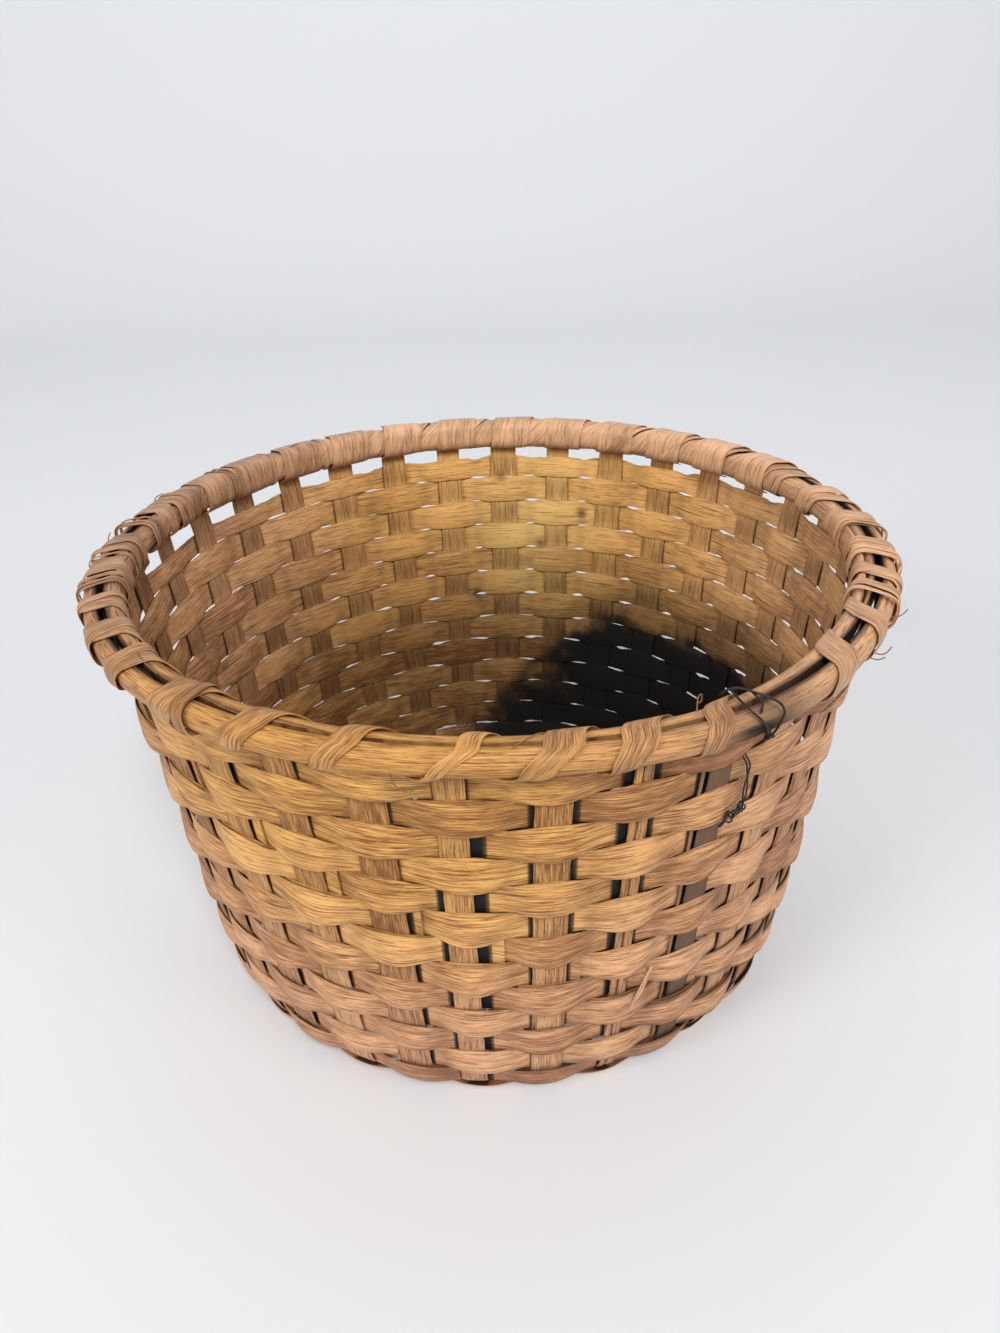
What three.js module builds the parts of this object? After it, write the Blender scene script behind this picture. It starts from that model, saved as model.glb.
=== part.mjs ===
// A round splint basket: a plaited base, a wall woven in one long spiral, and a lashed rim of two hoops.
// Lengths are millimetres and +Z is up. The basket's front faces -Y.
import * as THREE from 'three';

// Driving dimensions of the whole basket.
const rimRadius = 195.5;
const basketHeight = 237;
const floorRadius = 139;
const turnRadius = 26;
const wallLean = THREE.MathUtils.degToRad(10);
const rimLean = THREE.MathUtils.degToRad(11);

// Splints that cross in the base and turn up as stakes.
const splintsEachWay = 8;
const splintWidth = 16;
const splintWidthSpread = 1.1;
const splintWidthPhase = 2.4;
const splintThickness = 1.3;
const basePitch = 22;
const cornerRoom = 12;
const fanShare = 0.8;
const frontAngle = THREE.MathUtils.degToRad(-4.9);
const stakeDrift = THREE.MathUtils.degToRad(2.3);
const stakeBunching = THREE.MathUtils.degToRad(0.8);

// The narrow extra stake that makes the count odd, so that one spiral weaves over and under by itself.
const oddStakeWidth = 8.5;
const oddStakeTail = 12;

// Weavers.
const weaverWidth = 15.8;
const weaverThickness = 1.1;
const leastRowGap = 0.5;
const weaverCount = 12;
const rowsPerStraight = 3;
const lapCrossings = 2;
const weaverEndWidth = 10;
const weaverEndStake = -8;

// Rim hoops, their lashing and the two repair wires.
const hoopHeight = 13;
const hoopThickness = 7;
const hoopFlatShare = 0.55;
const hoopRounded = 3.5;
const hoopEdgeEase = 0.3;
const hoopLeastShare = 0.2;
const hoopScarfTip = 0.8;
const hoopScarfStakes = 3;
const outerScarfStake = 20;
const innerScarfStake = 6;
const stakeEndDrop = 2;
const underHoopGap = 3.4;
const lashingWidth = 10;
const lashingThickness = 0.7;
const lashingCount = 2;
const lashingStartStake = 4;
const brokenWraps = 1;
const wireRadius = 0.55;
const wireGapStake = 3.5;
const rimWireTurns = 2;
const sideWireDrop = 52;
const sideWireTail = 14;
const wireCorners = 6;
const rimWireSteps = 16;
const sideWireSteps = 18;

// Clearances between pieces that touch on the real basket.
const clearance = 0.3;
const lashingClearance = 0.5;
const edgeMargin = 1;

// Sizes worked out from the ones above.
const stakeCount = 4 * splintsEachWay + 1;
const stakeStep = (2 * Math.PI) / stakeCount;
const crossingShift = splintThickness / 2 + clearance + weaverThickness / 2;
const lapShift = weaverThickness + clearance;
const baseShift = (splintThickness + clearance) / 2;
const floorHeight = crossingShift + weaverThickness / 2;
const baseHeight = baseShift + splintThickness / 2;
const baseHalfSide = ((splintsEachWay - 1) / 2) * basePitch + (splintWidth + splintWidthSpread) / 2;
const UP = new THREE.Vector3(0, 0, 1);

// Half the thickness of a splint that lies flat on the floor, towards its underside.
const FLAT = new THREE.Vector3(0, 0, -splintThickness / 2);

// The wall's middle line from the floor's centre to the hoops' top edge, as radius and height.
const wallStart = new THREE.Vector2(
  floorRadius + turnRadius * Math.cos(wallLean),
  floorHeight + turnRadius * (1 - Math.sin(wallLean)),
);
const wallEnd = new THREE.Vector2(rimRadius, basketHeight);
const wallReach = wallStart.distanceTo(wallEnd) / 3;
const profile = new THREE.Path();
profile.moveTo(0, floorHeight);
profile.lineTo(floorRadius, floorHeight);
profile.absarc(floorRadius, floorHeight + turnRadius, turnRadius, -Math.PI / 2, -wallLean, false);
profile.bezierCurveTo(
  wallStart.x + wallReach * Math.sin(wallLean),
  wallStart.y + wallReach * Math.cos(wallLean),
  wallEnd.x - wallReach * Math.sin(rimLean),
  wallEnd.y - wallReach * Math.cos(rimLean),
  wallEnd.x,
  wallEnd.y,
);
const profileLength = profile.getLength();
const turnEnd = floorRadius + turnRadius * (Math.PI / 2 - wallLean);

// Levels of the rim, measured along the wall's middle line.
const hoopFoot = profileLength - hoopHeight;
const stakeTop = profileLength - stakeEndDrop;
const topRowLimit = hoopFoot - underHoopGap;

// The spiral: one row climbs by a row pitch in each turn round the basket.
const firstRow = baseHalfSide * Math.SQRT2 + cornerRoom;
const wovenLength = topRowLimit - weaverEndWidth - firstRow;
const turns = Math.floor(wovenLength / (weaverWidth + leastRowGap));
const rowPitch = wovenLength / turns;
const rowGap = rowPitch - weaverWidth;
const lastCrossing = turns * stakeCount;
const crossingsToWall = ((turnEnd - firstRow) / rowPitch) * stakeCount;
const firstLap = lastCrossing - 2 * Math.floor((lastCrossing - crossingsToWall) / 2);
const lengthCrossings = 2 * Math.floor((lastCrossing - firstLap) / (2 * (weaverCount - 1)));

// Materials.
const stakeSplint = { color: new THREE.Color(0.58, 0.4, 0.2), roughness: 0.62, metalness: 0 };
const weaverSplint = { color: new THREE.Color(0.63, 0.43, 0.22), roughness: 0.6, metalness: 0 };
const hoopWood = { color: new THREE.Color(0.6, 0.41, 0.21), roughness: 0.55, metalness: 0 };
const lashingSplint = { color: new THREE.Color(0.68, 0.46, 0.22), roughness: 0.42, metalness: 0 };
const tieWire = { color: new THREE.Color(0.16, 0.15, 0.14), roughness: 0.5, metalness: 0.8 };

const basket = new THREE.Group();

function addPiece(name, geometry, look) {
  const mesh = new THREE.Mesh(geometry, new THREE.MeshStandardMaterial(look));
  mesh.name = name;
  basket.add(mesh);
}

function wrap(value, count) {
  return ((value % count) + count) % count;
}

function profilePoint(s) {
  return profile.getPoint(Math.min(s / profileLength, 1));
}

// Stake angles are measured from the front towards +X. The stakes stand a little closer on the right
// than on the left, and a little closer at the sides than at the front and back.
function stakeAngle(stake) {
  const even = stake * stakeStep;
  return frontAngle + even + stakeDrift * (Math.cos(even) - 1) + stakeBunching * Math.sin(2 * even);
}

function radial(angle) {
  return new THREE.Vector3(Math.sin(angle), -Math.cos(angle), 0);
}

function sideways(angle) {
  return new THREE.Vector3(Math.cos(angle), Math.sin(angle), 0);
}

// Turns a radius and height into a point or direction at an angle round the basket.
function around(angle, flat) {
  return radial(angle).multiplyScalar(flat.x).addScaledVector(UP, flat.y);
}

// A closed band through a list of sections, each a ring of corners, with both ends capped.
// Opposite faces are split along the same diagonal, so that a twisted band keeps its thickness.
function bandGeometry(sections) {
  const corners = sections[0].length;
  const positions = sections.flat().flatMap((p) => [p.x, p.y, p.z]);
  const faces = [];
  for (let i = 0; i + 1 < sections.length; i += 1) {
    for (let j = 0; j < corners; j += 1) {
      const a = i * corners + j;
      const b = i * corners + ((j + 1) % corners);
      if (2 * j < corners) {
        faces.push(a, b, b + corners, a, b + corners, a + corners);
      } else {
        faces.push(a, b, a + corners, b, b + corners, a + corners);
      }
    }
  }
  const last = (sections.length - 1) * corners;
  for (let j = 1; j + 1 < corners; j += 1) {
    faces.push(0, j + 1, j);
    faces.push(last, last + j, last + j + 1);
  }
  if (signedVolume(positions, faces) < 0) {
    faces.reverse();
  }
  const geometry = new THREE.BufferGeometry();
  geometry.setAttribute('position', new THREE.Float32BufferAttribute(positions, 3));
  geometry.setIndex(faces);
  geometry.computeVertexNormals();
  return geometry;
}

function signedVolume(positions, faces) {
  const a = new THREE.Vector3();
  const b = new THREE.Vector3();
  const c = new THREE.Vector3();
  let total = 0;
  for (let i = 0; i < faces.length; i += 3) {
    a.fromArray(positions, 3 * faces[i]);
    b.fromArray(positions, 3 * faces[i + 1]);
    c.fromArray(positions, 3 * faces[i + 2]);
    total += a.dot(b.cross(c)) / 6;
  }
  return total;
}

// A flat rectangular section: its half width lies along one vector and its half thickness along another.
function flatSection({ centre, halfWidth, halfThickness }) {
  const corner = (w, t) => centre.clone().addScaledVector(halfWidth, w).addScaledVector(halfThickness, t);
  return [corner(-1, -1), corner(1, -1), corner(1, 1), corner(-1, 1)];
}

function flatBand(stations) {
  return bandGeometry(stations.map(flatSection));
}

// Hand-split splints differ a little in width.
function splintWidthOf(index) {
  return splintWidth + splintWidthSpread * Math.sin(splintWidthPhase * index + 1);
}

// The stake at each end of a splint. The odd stake stands between two ends at the front.
const half = splintsEachWay / 2;
const oddStake = half - 2;

function frontEnd(index) {
  const stake = index - half;
  return wrap(stake < oddStake ? stake : stake + 1, stakeCount);
}

function rightEnd(index) {
  return half + 1 + index;
}

function backEnd(index) {
  return half + 2 * splintsEachWay - index;
}

function leftEnd(index) {
  return half + 3 * splintsEachWay - index;
}

const stakeWidths = new Array(stakeCount).fill(oddStakeWidth);
for (let index = 0; index < splintsEachWay; index += 1) {
  stakeWidths[frontEnd(index)] = splintWidthOf(index);
  stakeWidths[backEnd(index)] = splintWidthOf(index);
  stakeWidths[rightEnd(index)] = splintWidthOf(index + splintsEachWay);
  stakeWidths[leftEnd(index)] = splintWidthOf(index + splintsEachWay);
}

// Rows: the weaver meets the stakes one after another, clockwise seen from above.
function stakeAt(crossing) {
  return wrap(weaverEndStake + lastCrossing - crossing, stakeCount);
}

function firstCrossing(stake) {
  return wrap(weaverEndStake + lastCrossing - stake, stakeCount);
}

function rowLow(crossing) {
  return firstRow + (rowPitch * crossing) / stakeCount;
}

function rowWidth(crossing) {
  return Math.min(weaverWidth, topRowLimit - rowLow(crossing));
}

// A stake is straight behind each row and bends only between rows, where its breaks are.
function stakeBreaks(stake) {
  const breaks = [];
  let row = 0;
  for (let crossing = firstCrossing(stake); crossing <= lastCrossing; crossing += stakeCount) {
    const level = rowLow(crossing) - rowGap / 2;
    const curved = level < turnEnd + rowPitch;
    if ((curved || row % rowsPerStraight === 0) && level < topRowLimit - rowPitch / 2) {
      breaks.push(level);
    }
    row += 1;
  }
  breaks.push(topRowLimit, profileLength);
  return breaks;
}

const breaksOf = Array.from({ length: stakeCount }, (_, stake) => stakeBreaks(stake));

function facetIndex(stake, s) {
  const breaks = breaksOf[stake];
  let index = 0;
  while (index < breaks.length - 2 && s >= breaks[index + 1]) {
    index += 1;
  }
  return index;
}

// The directions of one straight stretch of a stake: along it, upwards, and out of the basket.
function facetDirections(stake, index) {
  const breaks = breaksOf[stake];
  const along = profilePoint(breaks[index + 1]).sub(profilePoint(breaks[index])).normalize();
  return { along, out: new THREE.Vector2(along.y, -along.x) };
}

// The frame on a stake's middle line at a distance along the wall.
function stakeFrame(stake, s) {
  const breaks = breaksOf[stake];
  const index = facetIndex(stake, s);
  const share = (s - breaks[index]) / (breaks[index + 1] - breaks[index]);
  const flat = profilePoint(breaks[index]).lerp(profilePoint(breaks[index + 1]), share);
  const { along, out } = facetDirections(stake, index);
  const angle = stakeAngle(stake);
  return {
    centre: around(angle, flat),
    along: around(angle, along),
    out: around(angle, out),
    side: sideways(angle),
  };
}

// The sections of one stake, from its foot at the floor to its top between the hoops.
function stakeSections(stake) {
  const angle = stakeAngle(stake);
  const breaks = breaksOf[stake];
  const halfWidth = sideways(angle).multiplyScalar(stakeWidths[stake] / 2);
  const stations = [];
  let outBelow = new THREE.Vector2(0, -1);
  for (let index = 0; index + 1 < breaks.length; index += 1) {
    const { out } = facetDirections(stake, index);
    const mitre = outBelow.clone().add(out);
    mitre.multiplyScalar(splintThickness / mitre.lengthSq());
    const centre = around(angle, profilePoint(breaks[index]));
    stations.push({ centre, halfWidth, halfThickness: around(angle, mitre) });
    outBelow = out;
  }
  const { centre, out } = stakeFrame(stake, stakeTop);
  stations.push({ centre, halfWidth, halfThickness: out.multiplyScalar(splintThickness / 2) });
  return stations;
}

// A splint that runs up the wall, across the plaited base and up the wall again.
function throughSplint(index, fromStake, toStake, along, across, offset, width, crossed) {
  const middleLine = across.clone().multiplyScalar(offset);
  const line = (distance, height) => middleLine.clone().addScaledVector(along, distance).setZ(height);
  const middle = [];
  for (let i = 0; i < splintsEachWay; i += 1) {
    const distance = (i - (splintsEachWay - 1) / 2) * basePitch;
    const reach = crossed(i) / 2 + clearance;
    const height = baseHeight + ((index + i) % 2 === 0 ? -baseShift : baseShift);
    middle.push(line(distance - reach, height));
    middle.push(line(distance + reach, height));
  }
  const halfWidth = across.clone().multiplyScalar(width / 2);
  const base = middle.map((centre) => ({ centre, halfWidth, halfThickness: FLAT }));
  const near = fanStation(base[0].centre, along.clone().negate(), fromStake, across, width);
  const far = fanStation(base[base.length - 1].centre, along, toStake, across, width);
  const rise = (stake) =>
    stakeSections(stake).map((station) => ({ ...station, halfWidth: aligned(station.halfWidth, across) }));
  return flatBand([...rise(fromStake).reverse(), near, ...base, far, ...rise(toStake)]);
}

function aligned(vector, reference) {
  return vector.dot(reference) < 0 ? vector.clone().negate() : vector;
}

// Between the plaited base and the first row a splint bends in its own plane to point outwards.
function fanStation(start, direction, stake, across, width) {
  const angle = stakeAngle(stake);
  const end = around(angle, profilePoint(breaksOf[stake][0]));
  const reach = start.distanceTo(end) / 3;
  const leaving = start.clone().addScaledVector(direction, reach);
  const arriving = end.clone().addScaledVector(radial(angle), -reach);
  const bend = new THREE.CubicBezierCurve3(start, leaving, arriving, end);
  const centre = bend.getPoint(fanShare).setZ(start.z);
  const heading = bend.getTangent(fanShare).setZ(0).normalize();
  const halfWidth = new THREE.Vector3().crossVectors(UP, heading).multiplyScalar(width / 2);
  return { centre, halfWidth: aligned(halfWidth, across), halfThickness: FLAT };
}

// The odd stake starts as a short tail under the first rows.
function oddStakeGeometry() {
  const stations = stakeSections(oddStake);
  const foot = stations[0].centre.clone().addScaledVector(radial(stakeAngle(oddStake)), -oddStakeTail);
  const tail = { ...stations[0], centre: foot, halfThickness: FLAT };
  return flatBand([tail, ...stations]);
}

// One length of weaver. Where two lengths lap, the newer one lies on the outer side of the older one.
function weaverGeometry(from, to, lapsOlder, lapsNewer) {
  const stations = [];
  for (let crossing = from; crossing <= to; crossing += 1) {
    const stake = stakeAt(crossing);
    const width = rowWidth(crossing);
    const outside = (lastCrossing - crossing) % 2 === 1;
    const overOlder = lapsOlder && outside && crossing < from + lapCrossings;
    const underNewer = lapsNewer && !outside && crossing > to - lapCrossings;
    const side = outside ? 1 : -1;
    const shift = side * crossingShift + (overOlder ? lapShift : 0) - (underNewer ? lapShift : 0);
    const frame = stakeFrame(stake, rowLow(crossing) + width / 2);
    const reach = stakeWidths[stake] / 2 + edgeMargin;
    for (const edge of [reach, -reach]) {
      const centre = frame.centre.clone().addScaledVector(frame.side, edge).addScaledVector(frame.out, shift);
      const halfWidth = frame.along.clone().multiplyScalar(width / 2);
      const halfThickness = frame.out.clone().multiplyScalar(weaverThickness / 2);
      stations.push({ centre, halfWidth, halfThickness });
    }
  }
  return flatBand(stations);
}

const hoopNear = splintThickness / 2 + clearance;
const hoopFar = hoopNear + hoopThickness;
const hoopShoulder = hoopNear + hoopFlatShare * hoopThickness;

// How far a hoop's rounded edge has drawn in at a distance out of the wall.
function hoopRounding(distance) {
  const ease = hoopEdgeEase * ((distance - hoopNear) / hoopThickness) ** 2;
  return ease + hoopRounded * Math.max(0, (distance - hoopShoulder) / (hoopFar - hoopShoulder));
}

// The half-round outline of a hoop between two distances out of the wall, upwards from the hoops' foot.
function hoopOutline(near, far) {
  const least = near + hoopLeastShare * (far - near);
  const most = far - hoopLeastShare * (far - near);
  const across = [near, THREE.MathUtils.clamp(hoopShoulder, least, most), far];
  const lower = across.map((distance) => new THREE.Vector2(distance, hoopRounding(distance)));
  const upper = lower.map((point) => new THREE.Vector2(point.x, hoopHeight - point.y)).reverse();
  return [...lower, ...upper];
}

// A hoop is one bent strip whose two ends are scarfed over each other. The side is 1 outside and -1 inside.
function hoopGeometry(side, scarfStake) {
  const lapSections = 2 * hoopScarfStakes;
  const round = 2 * stakeCount;
  const sections = [];
  for (let i = 0; i < round + lapSections; i += 1) {
    const stake = wrap(scarfStake + Math.floor(i / 2), stakeCount);
    const frame = stakeFrame(stake, hoopFoot);
    const reach = stakeWidths[stake] / 2 + edgeMargin;
    const start = frame.centre.addScaledVector(frame.side, i % 2 === 0 ? -reach : reach);
    const ramp = (step) => hoopScarfTip + ((hoopThickness - 2 * hoopScarfTip) * step) / (lapSections - 1);
    const near = i < round ? hoopNear : hoopNear + ramp(i - round) + clearance;
    const far = i < lapSections ? hoopNear + ramp(i) : hoopFar;
    const out = frame.out.multiplyScalar(side);
    const corner = (p) => start.clone().addScaledVector(out, p.x).addScaledVector(frame.along, p.y);
    sections.push(hoopOutline(near, far).map(corner));
  }
  return bandGeometry(sections);
}

// The outline of both hoops together, grown by a distance, as corners that a wrap follows.
function wrapCorners(grow) {
  const outer = hoopOutline(hoopNear, hoopFar).slice(1, -1);
  const inner = outer.map((p) => new THREE.Vector2(-p.x, p.y)).reverse();
  const outline = [...outer, ...inner];
  return outline.map((point, i) => {
    const before = outline[(i + outline.length - 1) % outline.length];
    const after = outline[(i + 1) % outline.length];
    const normalIn = point.clone().sub(before).normalize();
    const normalOut = after.clone().sub(point).normalize();
    const mitre = new THREE.Vector2(normalIn.y + normalOut.y, -normalIn.x - normalOut.x);
    const normal = mitre.multiplyScalar(2 / mitre.lengthSq());
    return { point: point.clone().addScaledVector(normal, grow), normal };
  });
}

// A point of the rim at any angle, at a distance out of the wall and up from the hoops' foot.
const rimAlong = profilePoint(profileLength).sub(profilePoint(topRowLimit)).normalize();
const rimOut = new THREE.Vector2(rimAlong.y, -rimAlong.x);
const rimFoot = profilePoint(topRowLimit).addScaledVector(rimAlong, underHoopGap);

function rimPoint(angle, flat) {
  const place = rimFoot.clone().addScaledVector(rimOut, flat.x).addScaledVector(rimAlong, flat.y);
  return around(angle, place);
}

function rimDirection(angle, flat) {
  const direction = rimOut.clone().multiplyScalar(flat.x).addScaledVector(rimAlong, flat.y);
  return around(angle, direction);
}

// One length of lashing. It goes out under the hoops in each gap between stakes and rises towards the next
// stake, and its ends are tucked in at the wall.
function lashingStations(firstGap, gapCount) {
  const corners = wrapCorners(lashingClearance + lashingThickness / 2);
  const shares = perimeterShares(corners.map((corner) => corner.point));
  const stations = [];
  for (let gap = firstGap; gap < firstGap + gapCount; gap += 1) {
    corners.forEach(({ point, normal }, i) => {
      const turn = gap + 0.5 + shares[i];
      const angle = stakeAngle(turn);
      const halfWidth = sideways(angle).multiplyScalar(lashingWidth / 2);
      const halfThickness = rimDirection(angle, normal).multiplyScalar(lashingThickness / 2);
      stations.push({ centre: rimPoint(angle, point), halfWidth, halfThickness });
    });
  }
  return stations.slice(0, -1);
}

// How far round the outline each corner lies, from 0 to 1, counted from the middle of its lower edge.
function perimeterShares(points) {
  const lengths = points.map((point, i) => point.distanceTo(points[(i + points.length - 1) % points.length]));
  const total = lengths.reduce((sum, length) => sum + length, 0);
  let travelled = -lengths[0] / 2;
  return lengths.map((length) => {
    travelled += length;
    return travelled / total;
  });
}

// The least gap between neighbouring turns of a wound piece, measured between points of its middle line.
function leastTurnGap(points, pointsPerTurn, width) {
  let least = Infinity;
  points.forEach((a, i) => {
    points.slice(i + pointsPerTurn - 1).forEach((b) => {
      least = Math.min(least, a.distanceTo(b) - width);
    });
  });
  return least;
}

function wireCurve(points) {
  return new THREE.CatmullRomCurve3(points, false, 'centripetal');
}

// A round wire along a smooth curve.
function wireGeometry(points, steps) {
  const rim = new THREE.EllipseCurve(0, 0, wireRadius, wireRadius).getPoints(wireCorners);
  const section = new THREE.Shape(rim.slice(0, -1));
  return new THREE.ExtrudeGeometry(section, { steps, bevelEnabled: false, extrudePath: wireCurve(points) });
}

// The rim wire is wound round the hoops where a wrap of the lashing has broken off.
function rimWirePoints() {
  const grow = lashingClearance + wireRadius;
  const corners = wrapCorners(grow);
  const points = [];
  const count = rimWireTurns * corners.length;
  const gapShare = (lashingWidth / 2 + edgeMargin + wireRadius) / (rimRadius * stakeStep);
  const turnShare = (2 * wireRadius + edgeMargin) / (rimRadius * stakeStep);
  for (let i = 0; i < count; i += 1) {
    const place = wireGapStake + gapShare + (turnShare * i) / corners.length;
    points.push(rimPoint(stakeAngle(place), corners[i % corners.length].point));
  }
  return points;
}

// The side wire is hooked through the wall under the hoops and hangs down outside the first rows.
function sideWirePoints() {
  const gapShare = (lashingWidth / 2 + edgeMargin + wireRadius) / (rimRadius * stakeStep);
  const angle = stakeAngle(wireGapStake - gapShare);
  const level = -underHoopGap / 2;
  const outside = crossingShift + lapShift + weaverThickness / 2 + clearance + wireRadius;
  const route = [
    new THREE.Vector2(-outside, level - sideWireTail),
    new THREE.Vector2(-outside, level - sideWireTail / 2),
    new THREE.Vector2(-outside, level - 2 * wireRadius),
    new THREE.Vector2(-outside / 2, level),
    new THREE.Vector2(outside / 2, level),
    new THREE.Vector2(outside, level - 2 * wireRadius),
    new THREE.Vector2(outside, level - sideWireDrop / 2),
    new THREE.Vector2(outside, level - sideWireDrop),
  ];
  return route.map((flat) => rimPoint(angle, flat));
}

// The sixteen splints of base and wall.
const matSide = sideways(frontAngle);
const matBack = radial(frontAngle).negate();
for (let index = 0; index < splintsEachWay; index += 1) {
  const offset = (index - (splintsEachWay - 1) / 2) * basePitch;
  const crossedWidth = (i) => splintWidthOf(i + splintsEachWay);
  const geometry = throughSplint(
    index, frontEnd(index), backEnd(index), matBack, matSide, offset, splintWidthOf(index), crossedWidth,
  );
  addPiece(`front_back_splint_${index + 1}`, geometry, stakeSplint);
}
for (let index = 0; index < splintsEachWay; index += 1) {
  const offset = (index - (splintsEachWay - 1) / 2) * basePitch;
  const width = splintWidthOf(index + splintsEachWay);
  const geometry = throughSplint(
    index + 1, leftEnd(index), rightEnd(index), matSide, matBack, offset, width, splintWidthOf,
  );
  addPiece(`left_right_splint_${index + 1}`, geometry, stakeSplint);
}
addPiece('odd_stake', oddStakeGeometry(), stakeSplint);

// The weavers, from the floor up. The first one covers the floor and the turn, the others share the wall.
for (let index = 0; index < weaverCount; index += 1) {
  const newest = index === weaverCount - 1;
  const from = index === 0 ? 0 : firstLap + (index - 1) * lengthCrossings;
  const to = newest ? lastCrossing : firstLap + index * lengthCrossings + lapCrossings - 1;
  addPiece(`weaver_${index + 1}`, weaverGeometry(from, to, index > 0, !newest), weaverSplint);
}

// The rim.
addPiece('outer_rim_hoop', hoopGeometry(1, outerScarfStake), hoopWood);
addPiece('inner_rim_hoop', hoopGeometry(-1, innerScarfStake), hoopWood);
const wrapCount = stakeCount - brokenWraps;
const gapsPerLength = Math.ceil(wrapCount / lashingCount);
let leastLashingGap = Infinity;
for (let length = 0; length < lashingCount; length += 1) {
  const gapCount = Math.min(gapsPerLength, wrapCount - length * gapsPerLength);
  const stations = lashingStations(lashingStartStake + length * gapsPerLength, gapCount);
  const middle = stations.map((station) => station.centre);
  leastLashingGap = Math.min(leastLashingGap, leastTurnGap(middle, wrapCorners(0).length, lashingWidth));
  addPiece(`rim_lashing_${length + 1}`, flatBand(stations), lashingSplint);
}
const rimWireRoute = rimWirePoints();
const rimWireMiddle = wireCurve(rimWireRoute).getSpacedPoints(rimWireSteps * rimWireTurns);
addPiece('rim_wire', wireGeometry(rimWireRoute, rimWireSteps * rimWireTurns), tieWire);
addPiece('side_wire', wireGeometry(sideWirePoints(), sideWireSteps), tieWire);

console.log(`rows ${turns}, row pitch ${rowPitch.toFixed(2)} mm, row gap ${rowGap.toFixed(2)} mm`);
console.log(`least gap between lashing wraps ${leastLashingGap.toFixed(2)} mm`);
const leastWireGap = leastTurnGap(rimWireMiddle, rimWireSteps, 2 * wireRadius);
console.log(`least gap between wire turns ${leastWireGap.toFixed(2)} mm`);

export default basket;
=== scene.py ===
import bisect
import math

import bpy
from bpy.props import FloatProperty, FloatVectorProperty, IntProperty, PointerProperty
from mathutils import Matrix, Vector, noise


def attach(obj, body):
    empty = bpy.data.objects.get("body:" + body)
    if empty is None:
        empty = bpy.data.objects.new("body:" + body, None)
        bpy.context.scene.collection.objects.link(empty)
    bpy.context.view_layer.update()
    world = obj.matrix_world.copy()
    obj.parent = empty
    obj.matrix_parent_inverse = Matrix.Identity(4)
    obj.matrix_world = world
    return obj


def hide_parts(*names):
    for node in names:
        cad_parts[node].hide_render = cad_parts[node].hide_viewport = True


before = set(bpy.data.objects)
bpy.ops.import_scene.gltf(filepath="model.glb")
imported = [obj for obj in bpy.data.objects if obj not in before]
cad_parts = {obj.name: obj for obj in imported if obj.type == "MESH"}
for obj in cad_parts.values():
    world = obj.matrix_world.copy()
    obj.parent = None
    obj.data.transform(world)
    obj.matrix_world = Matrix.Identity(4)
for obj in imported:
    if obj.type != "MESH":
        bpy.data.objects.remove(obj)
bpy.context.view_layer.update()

bl_info = {
    "name": "Splint Basket",
    "version": (1, 0, 0),
    "blender": (4, 5, 0),
    "location": "3D View > Sidebar > Basket",
    "description": "Weaves a round splint basket with a lashed rim, from its sizes and colours",
    "category": "Object",
}

UP = Vector((0, 0, 1))
MM = 0.001


def length(name, description, millimetres):
    """A size in millimetres, kept in metres."""
    size = millimetres * MM
    return FloatProperty(name=name, description=description, default=size, unit="LENGTH", subtype="DISTANCE")


def angle(name, description, degrees):
    """An angle in degrees, kept in radians."""
    return FloatProperty(name=name, description=description, default=math.radians(degrees), subtype="ANGLE")


def colour(name, description, *rgb):
    """A colour that the user picks."""
    return FloatVectorProperty(
        name=name, description=description, default=rgb, subtype="COLOR", size=3, min=0, max=1
    )


class BasketSizes(bpy.types.PropertyGroup):
    """Sizes of the basket and its splints."""

    rim_radius: length("Rim radius", "Radius of the wall's middle line at the top", 195.5)
    height: length("Height", "Height of the wall's middle line at the top", 237)
    floor_radius: length("Floor radius", "Radius where the wall starts to turn up", 139)
    turn_radius: length("Turn radius", "Radius of the turn from floor to wall", 26)
    wall_lean: angle("Wall lean", "Lean of the wall above the turn", 10)
    rim_lean: angle("Rim lean", "Lean of the wall at the rim", 11)
    splints_each_way: IntProperty(name="Splints each way", description="Splints across the base", default=8)
    splint_width: length("Splint width", "Width of the splints that cross the base", 16)
    splint_spread: length("Splint spread", "How much the splints differ in width", 1.1)
    splint_phase: FloatProperty(
        name="Splint phase", description="Order of wide and narrow splints", default=2.4
    )
    splint_thickness: length("Splint thickness", "Thickness of the stakes", 1.3)
    base_pitch: length("Base pitch", "Distance between splints in the base", 22)
    corner_room: length("Corner room", "From the base's corner to the first row", 12)
    front_angle: angle("Front angle", "Where the front stake stands", -4.9)
    stake_drift: angle("Stake drift", "How much closer the stakes stand on the right", 2.3)
    stake_bunching: angle("Stake bunching", "How much closer the stakes stand at the sides", 0.8)
    odd_width: length("Odd stake width", "Width of the narrow odd stake", 8.5)
    weaver_width: length("Weaver width", "Room that one row takes up the wall", 15.8)
    weaver_thickness: length("Weaver thickness", "Thickness of the weavers", 1.1)
    row_gap: length("Least row gap", "Least gap between rows", 0.5)
    weaver_end: length("Weaver end", "Width at the end of the last weaver", 10)
    weaver_end_stake: IntProperty(
        name="Weaver end stake", description="Stake where the spiral ends", default=-8
    )
    weaver_count: IntProperty(name="Weaver lengths", description="Splints in the spiral", default=12)
    hoop_height: length("Hoop height", "Height of the rim hoops", 13)
    hoop_thickness: length("Hoop thickness", "Thickness of the rim hoops", 7)
    under_hoop_gap: length("Gap under hoops", "From the top row to the hoops", 3.4)
    lashing_thickness: length("Lashing thickness", "Thickness of the lashing splint", 0.7)
    wire_radius: length("Wire radius", "Radius of the repair wires", 0.55)
    clearance: length("Clearance", "Gap between splints that touch", 0.3)


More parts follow.
